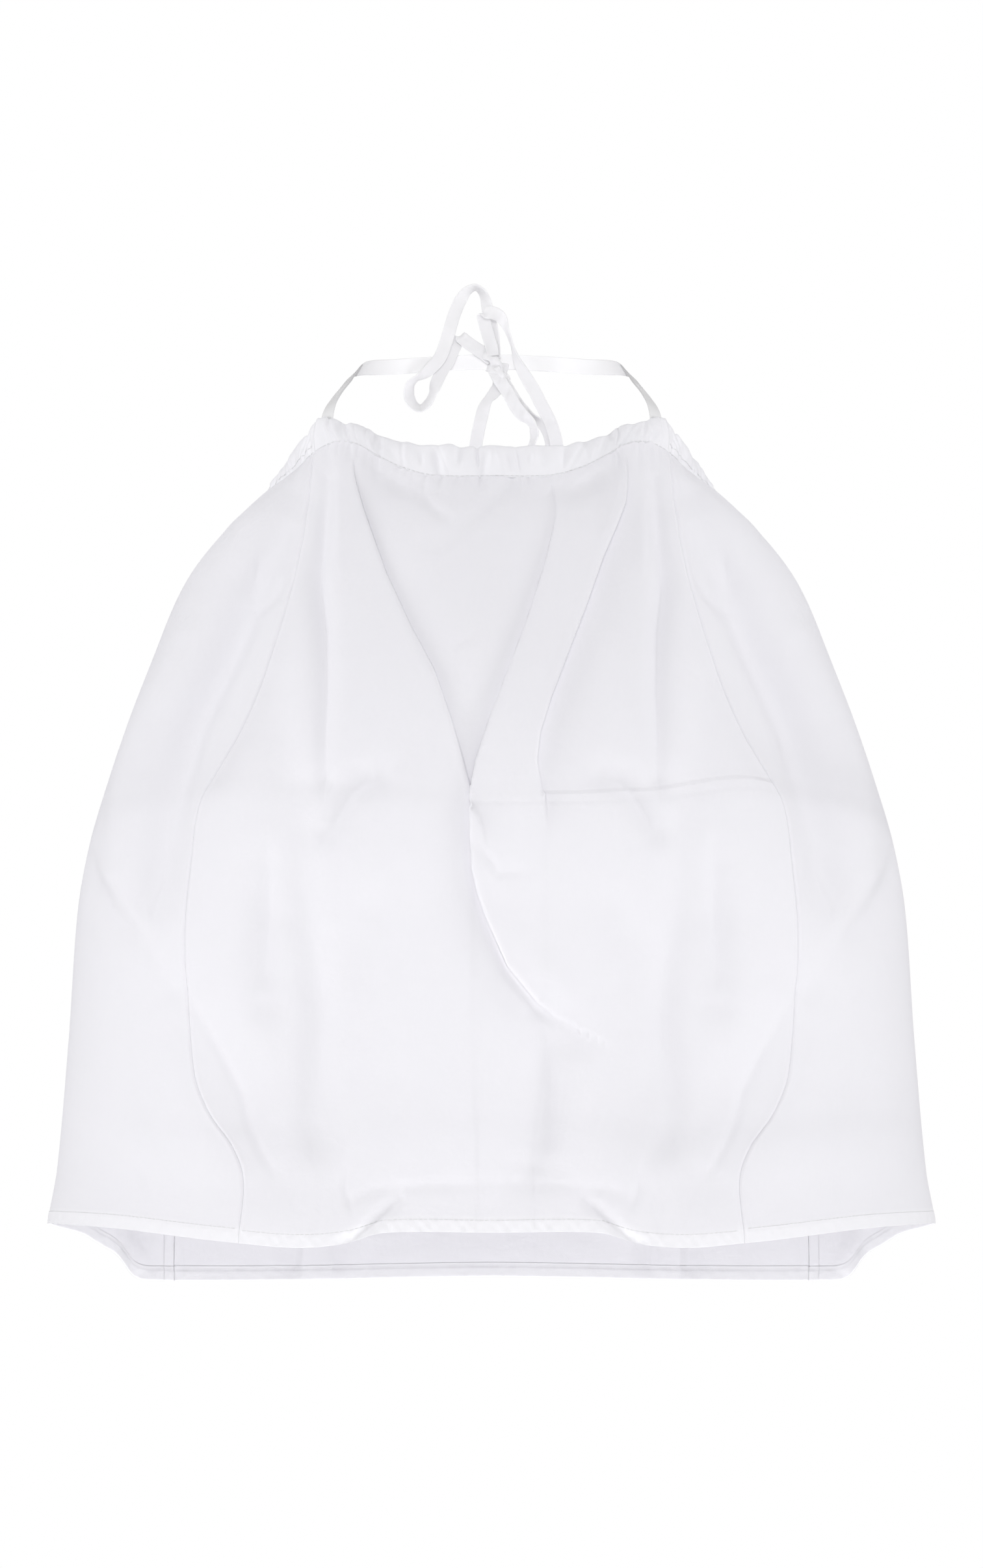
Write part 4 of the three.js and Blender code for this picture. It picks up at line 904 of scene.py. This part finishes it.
def gatherLift(gathers, along, below):
    # Gathers running down out of the casing, wider and softer further down
    total = np.zeros(np.broadcast(along, below).shape)
    for place, slant, width, depth, tail in zip(*(gathers[key] for key in
                                                  ("place", "slant", "width", "depth", "tail"))):
        offset = along - place - slant * 0.5
        wide = width * (gatherBelow["width"] + below / gatherBelow["widening"])
        total -= depth * gatherBelow["depth"] * np.exp(-(offset / wide) ** 2) * np.exp(-below / tail)
    return total * (1 - np.exp(-below / gatherBelow["start"]))


def hemLift(fromLeft, above, inHem, phase):
    # The hem is thicker, puckered along its stitching, and drawn in at the stitches
    waves = hemPucker
    pucker = (np.sin(fromLeft / waves["fine"] + above * waves["fineSlant"] + phase[0])
              * np.sin(fromLeft / waves["slow"] + phase[1])
              + waves["coarseShare"]
              * np.sin(fromLeft / waves["coarse"] - above * waves["coarseSlant"] + phase[2]))
    arch = np.sin(math.pi * np.clip(above / waves["reach"], 0, 1))
    drawnIn = np.exp(-((above - panelCut["hemStitch"]) / panelCut["stitchWidth"]) ** 2)
    return inHem * (panelCut["hemRise"] + waves["height"] * pucker * arch) - panelCut["stitchDip"] * drawnIn


def withTurned(grid):
    # A grid with the columns of both seam allowances added
    return np.concatenate([grid[:, turnedColumns][:, ::-1], grid, grid[:, -1 - turnedColumns]], axis=1)


def distances(point):
    # Length of cloth below the casing, above the hem, and from the left and right seams
    steps = np.linalg.norm(np.diff(point, axis=0), axis=2)
    below = np.vstack([np.zeros(point.shape[1]), np.cumsum(steps, axis=0)])
    steps = np.linalg.norm(np.diff(point, axis=1), axis=2)
    fromLeft = np.hstack([np.zeros((len(point), 1)), np.cumsum(steps, axis=1)])
    return below, below[-1] - below, fromLeft, fromLeft[:, -1:] - fromLeft


def makePanel(node):
    panel = panels[node]
    shares = panelShares(panel["rows"])
    across = panelColumns(panel["columns"])
    angles = []
    for at in (np.zeros(1), shares, np.ones(1)):
        start, end = panel["edges"](at)
        angles.append(wrapped(start[:, None] * (1 - across) + end[:, None] * across))
    share = shares[:, None] + 0 * across[None, :]
    casingAngle, girthAngle, hemAngle = (np.broadcast_to(a, share.shape) for a in angles)
    point = clothPoint(casingAngle, girthAngle, hemAngle, share)
    normal = unit(np.cross(np.gradient(point, axis=0), np.gradient(point, axis=1)))
    normal[0] = casingFrame(casingAngle[0])[3]
    below, above, fromLeft, fromRight = distances(point)

    lift = panelCut["faceRise"] + gatherLift(panel["gathers"], across[None, :] * panel["topLength"], below)
    toSeam = np.minimum(fromLeft, fromRight)
    lift = lift - panelCut["seamDip"] * np.exp(-(toSeam / panelCut["seamDipWidth"]) ** 2)
    ridge = np.exp(-((toSeam - panelCut["seamRidgeAt"]) / panelCut["seamRidgeWidth"]) ** 2)
    lift = lift + panelCut["seamRidge"] * ridge
    inHem = 1 / (1 + np.exp(np.clip((above - panelCut["hemDepth"]) / panelCut["hemSoft"], -40, 40)))
    phase = np.random.default_rng(panel["seed"]).uniform(0, math.tau, 4)
    lift = lift + hemLift(fromLeft, above, inHem, phase)
    face = point + normal * lift[..., None]

    # The seam allowances turn under at both sides, then the hem turns up inside them
    wide, ways = withTurned(face), withTurned(normal)
    count = len(turnedColumns)
    wide[:, :count] -= ways[:, :count] * turnedDepth[::-1, None]
    wide[:, -count:] -= ways[:, -count:] * turnedDepth[:, None]
    wide = np.concatenate([wide, wide[hemRows] - ways[hemRows] * hemUnder[:, None, None]], axis=0)
    cutAcross, cutDown, layersAndPaintedShade = withTurned(fromLeft), withTurned(below), withTurned(inHem)
    cut = np.stack([np.concatenate([cutAcross, cutAcross[hemRows]]),
                    np.concatenate([cutDown, 2 * cutDown[-1:] - cutDown[hemRows]])], -1)
    layersAndPaintedShade = np.concatenate([layersAndPaintedShade, np.ones_like(layersAndPaintedShade[hemRows])])
    rows, columns = wide.shape[:2]
    piece = meshPiece(panel["piece"], wide.reshape(-1, 3), gridFaces(rows, columns), cut.reshape(-1, 2),
                      layersAndPaintedShade.reshape(-1), poplin, node)
    panel["face"], panel["normal"], panel["above"] = face, normal, above
    return piece, float(below[-1].mean() + panelCut["hemDepth"]), float(fromLeft[:, -1].max()), wide


for node in panels:
    piece, length, width, grid = makePanel(node)
print("halter top: panels")


tunnel = {
    "rows": 15, "height": 20.0,                  # height is that of one face in the cut
    "fade": 0.06, "crease": 1.15, "deepest": 1.7, "endFade": 3.0, "puffFade": 6.0,
    "belly": 2.2, "bellyPower": 0.85, "base": 0.54, "puff": 0.75, "fine": (2.9, 1.7), "slow": 8.3,
    "coarse": (4.6, 2.4), "coarseShare": 0.8,
    "rimBelow": 0.1, "rimDip": 0.9, "rimWidth": 1.5, "rimGap": 0.35, "rimPuff": 0.6, "lap": 0.8,
    "innerDepth": 0.95, "innerCrease": 0.25, "spare": 1.12, "turnedIn": 1.5,
}


def casingCreases(gathers, along, v):
    # How deep the gathers press into the outer face, and how far they draw the rim down
    creaseDepth = np.zeros((len(along), len(v)))
    rimDip = np.zeros(len(along))
    for place, slant, width, depth, top, bottom in zip(*(gathers[key] for key in (
            "place", "slant", "width", "depth", "top", "bottom"))):
        offset = along[:, None] - place - slant * (v[None, :] - 0.5)
        window = (1 / (1 + np.exp((top - v) / tunnel["fade"]))) / (1 + np.exp((v - bottom) / tunnel["fade"]))
        creaseDepth += depth * tunnel["crease"] * np.exp(-(offset / width) ** 2) * window[None, :]
        if top < tunnel["rimBelow"]:
            atRim = along - place + slant * 0.5
            rimDip += depth * tunnel["rimDip"] * np.exp(-(atRim / (width * tunnel["rimWidth"])) ** 2)
    return np.minimum(creaseDepth, tunnel["deepest"]), rimDip


def casingPuffs(casing, along, v):
    starts = np.random.default_rng(casing["seed"] + 100).uniform(0, math.tau, 4)
    (fine, fineSlant), (coarse, coarseSlant) = tunnel["fine"], tunnel["coarse"]
    along = along[:, None]
    puffs = (np.sin(along / fine + fineSlant * v[None, :] + starts[0])
             * np.sin(along / tunnel["slow"] + starts[1])
             + tunnel["coarseShare"] * np.sin(along / coarse - coarseSlant * v[None, :] + starts[2]))
    return puffs[::-1] if casing.get("mirror") else puffs


def makeCasing(node):
    # A gathered tunnel: its outer face bellies out between the rim and the stitching, the inner face is flat
    casing = casings[node]
    panel = panels[casing["panel"]]
    start, end = panel["edges"](np.array(0.0))
    angle = wrapped(np.linspace(float(start), float(end), int(casing["length"] / casing["step"]) + 1))
    edge, low, down, out = casingFrame(angle)
    along = lengthAlong(low)
    v = np.linspace(0, 1, tunnel["rows"])
    creaseDepth, rimDip = casingCreases(casing["gathers"], along, v)
    puffs = casingPuffs(casing, along, v)
    toEnd = np.minimum(along, along[-1] - along)
    ends = np.clip(toEnd / tunnel["endFade"], 0, 1)
    fullness = np.clip(toEnd / tunnel["puffFade"], 0, 1)[:, None]
    arch = np.sin(math.pi * v ** tunnel["bellyPower"])[None, :]
    rise = (arch * (tunnel["belly"] + tunnel["puff"] * puffs * fullness) + tunnel["base"]
            - creaseDepth * np.sin(math.pi * np.clip(v * 0.9 + 0.08, 0, 1))[None, :] ** 0.5)
    rim = edge + down * (tunnel["rimGap"] + (rimDip - tunnel["rimPuff"] * puffs[:, 0]) * ends)[:, None]
    lap = low + down * tunnel["lap"]
    middle = rim[:, None] * (1 - v[None, :, None]) + lap[:, None] * v[None, :, None]
    outer = middle + out[:, None] * rise[..., None]
    rimTop = rim - down * tunnel["rimGap"]
    back = v[::-2]
    inner = (rim[:, None] * (1 - back[None, :, None]) + low[:, None] * back[None, :, None]
             - out[:, None] * (tunnel["innerDepth"]
                               + tunnel["innerCrease"] * creaseDepth[:, ::-2][..., None]))
    points = np.concatenate([rimTop[:, None], outer, inner], axis=1)
    rows, columns = points.shape[:2]
    around = np.concatenate([[-0.5], v * tunnel["height"], tunnel["height"] + (1 - back) * tunnel["height"]])
    cut = np.stack([np.broadcast_to(along[:, None], (rows, columns)),
                    np.broadcast_to(around[None, :], (rows, columns))], -1).reshape(-1, 2)
    piece = meshPiece(casing["piece"], points.reshape(-1, 3), tubeFaces(rows, columns), cut, 1.0, poplin,
                      node)
    casing["outer"], casing["out"] = outer, out


for node in casings:
    makeCasing(node)
print("halter top: casings")


# Stitches: one short length of thread, copied along rows of points on the cloth
stitch = {"length": 2.3, "gap": 0.9, "thread": 0.34, "rise": 0.08, "sides": 6, "bevel": 0.3, "clear": 4,
          "casingRise": 0.05}


def modelStitch():
    bpy.ops.object.select_all(action="DESELECT")
    bpy.ops.mesh.primitive_cylinder_add(vertices=stitch["sides"], radius=stitch["thread"] / 2 * mm,
                                        depth=stitch["length"] * mm, rotation=(0, math.pi / 2, 0))
    one = bpy.context.object
    bpy.ops.object.transform_apply(location=False, rotation=True, scale=False)
    bpy.ops.object.mode_set(mode="EDIT")
    bpy.ops.mesh.select_all(action="SELECT")
    bpy.ops.mesh.bevel(offset=stitch["thread"] * stitch["bevel"] * mm, segments=1)
    bpy.ops.object.mode_set(mode="OBJECT")
    mesh = one.data
    bpy.data.objects.remove(one)
    while mesh.uv_layers:
        mesh.uv_layers.remove(mesh.uv_layers[0])
    chart = mesh.uv_layers.new(name="cut")
    for corner in mesh.loops:
        chart.data[corner.index].uv = mesh.vertices[corner.vertex_index].co[:2]
    marks = mesh.attributes.new("layersAndPaintedShade", "FLOAT", "POINT")
    marks.data.foreach_set("value", [1.0] * len(mesh.vertices))
    mesh.materials.append(thread)
    mesh.polygons.foreach_set("use_smooth", [True] * len(mesh.polygons))
    return mesh


def layStitches(pattern, route, ways):
    copies = []
    lengths = lengthAlong(route)
    step = stitch["length"] + stitch["gap"]
    for place in np.arange(stitch["gap"], lengths[-1] - step, step):
        start, end = (np.array([np.interp(at, lengths, route[:, k]) for k in range(3)])
                      for at in (place, place + stitch["length"]))
        way = np.array([np.interp(place, lengths, ways[:, k]) for k in range(3)])
        along = unit(end - start)
        side = unit(np.cross(way, along))
        up = np.cross(along, side)
        middle = ((start + end) / 2 + up * stitch["rise"]) * mm
        frameOf = Matrix([[along[k], side[k], up[k], middle[k]] for k in range(3)] + [[0, 0, 0, 1]])
        mesh = pattern.copy()
        mesh.transform(frameOf)
        copies.append(bpy.data.objects.new("stitch", mesh))
        bpy.context.scene.collection.objects.link(copies[-1])
    return copies


def joinStitches(name, copies):
    bpy.ops.object.select_all(action="DESELECT")
    for copy in copies:
        copy.select_set(True)
    piece = copies[0]
    bpy.context.view_layer.objects.active = piece
    bpy.ops.object.join()
    piece.name = name
    piece.data.name = name
    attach(piece, "root")


def makeStitches():
    pattern = modelStitch()
    copies = []
    for panel in panels.values():
        row = int(np.argmin(np.abs(panel["above"].mean(axis=1) - panelCut["hemStitch"])))
        inside = slice(stitch["clear"], -stitch["clear"])
        copies += layStitches(pattern, panel["face"][row][inside], panel["normal"][row][inside])
    joinStitches("hemStitches", copies)
    copies = []
    for node, casing in casings.items():
        rows = (-2,) if node in ("neck_casing", "back_casing") else (-2, -5)
        for row in rows:
            route = casing["outer"][:, row] + casing["out"] * stitch["casingRise"]
            copies += layStitches(pattern, route, casing["out"])
    joinStitches("casingStitches", copies)
    bpy.data.meshes.remove(pattern)


makeStitches()
print("halter top: stitches")
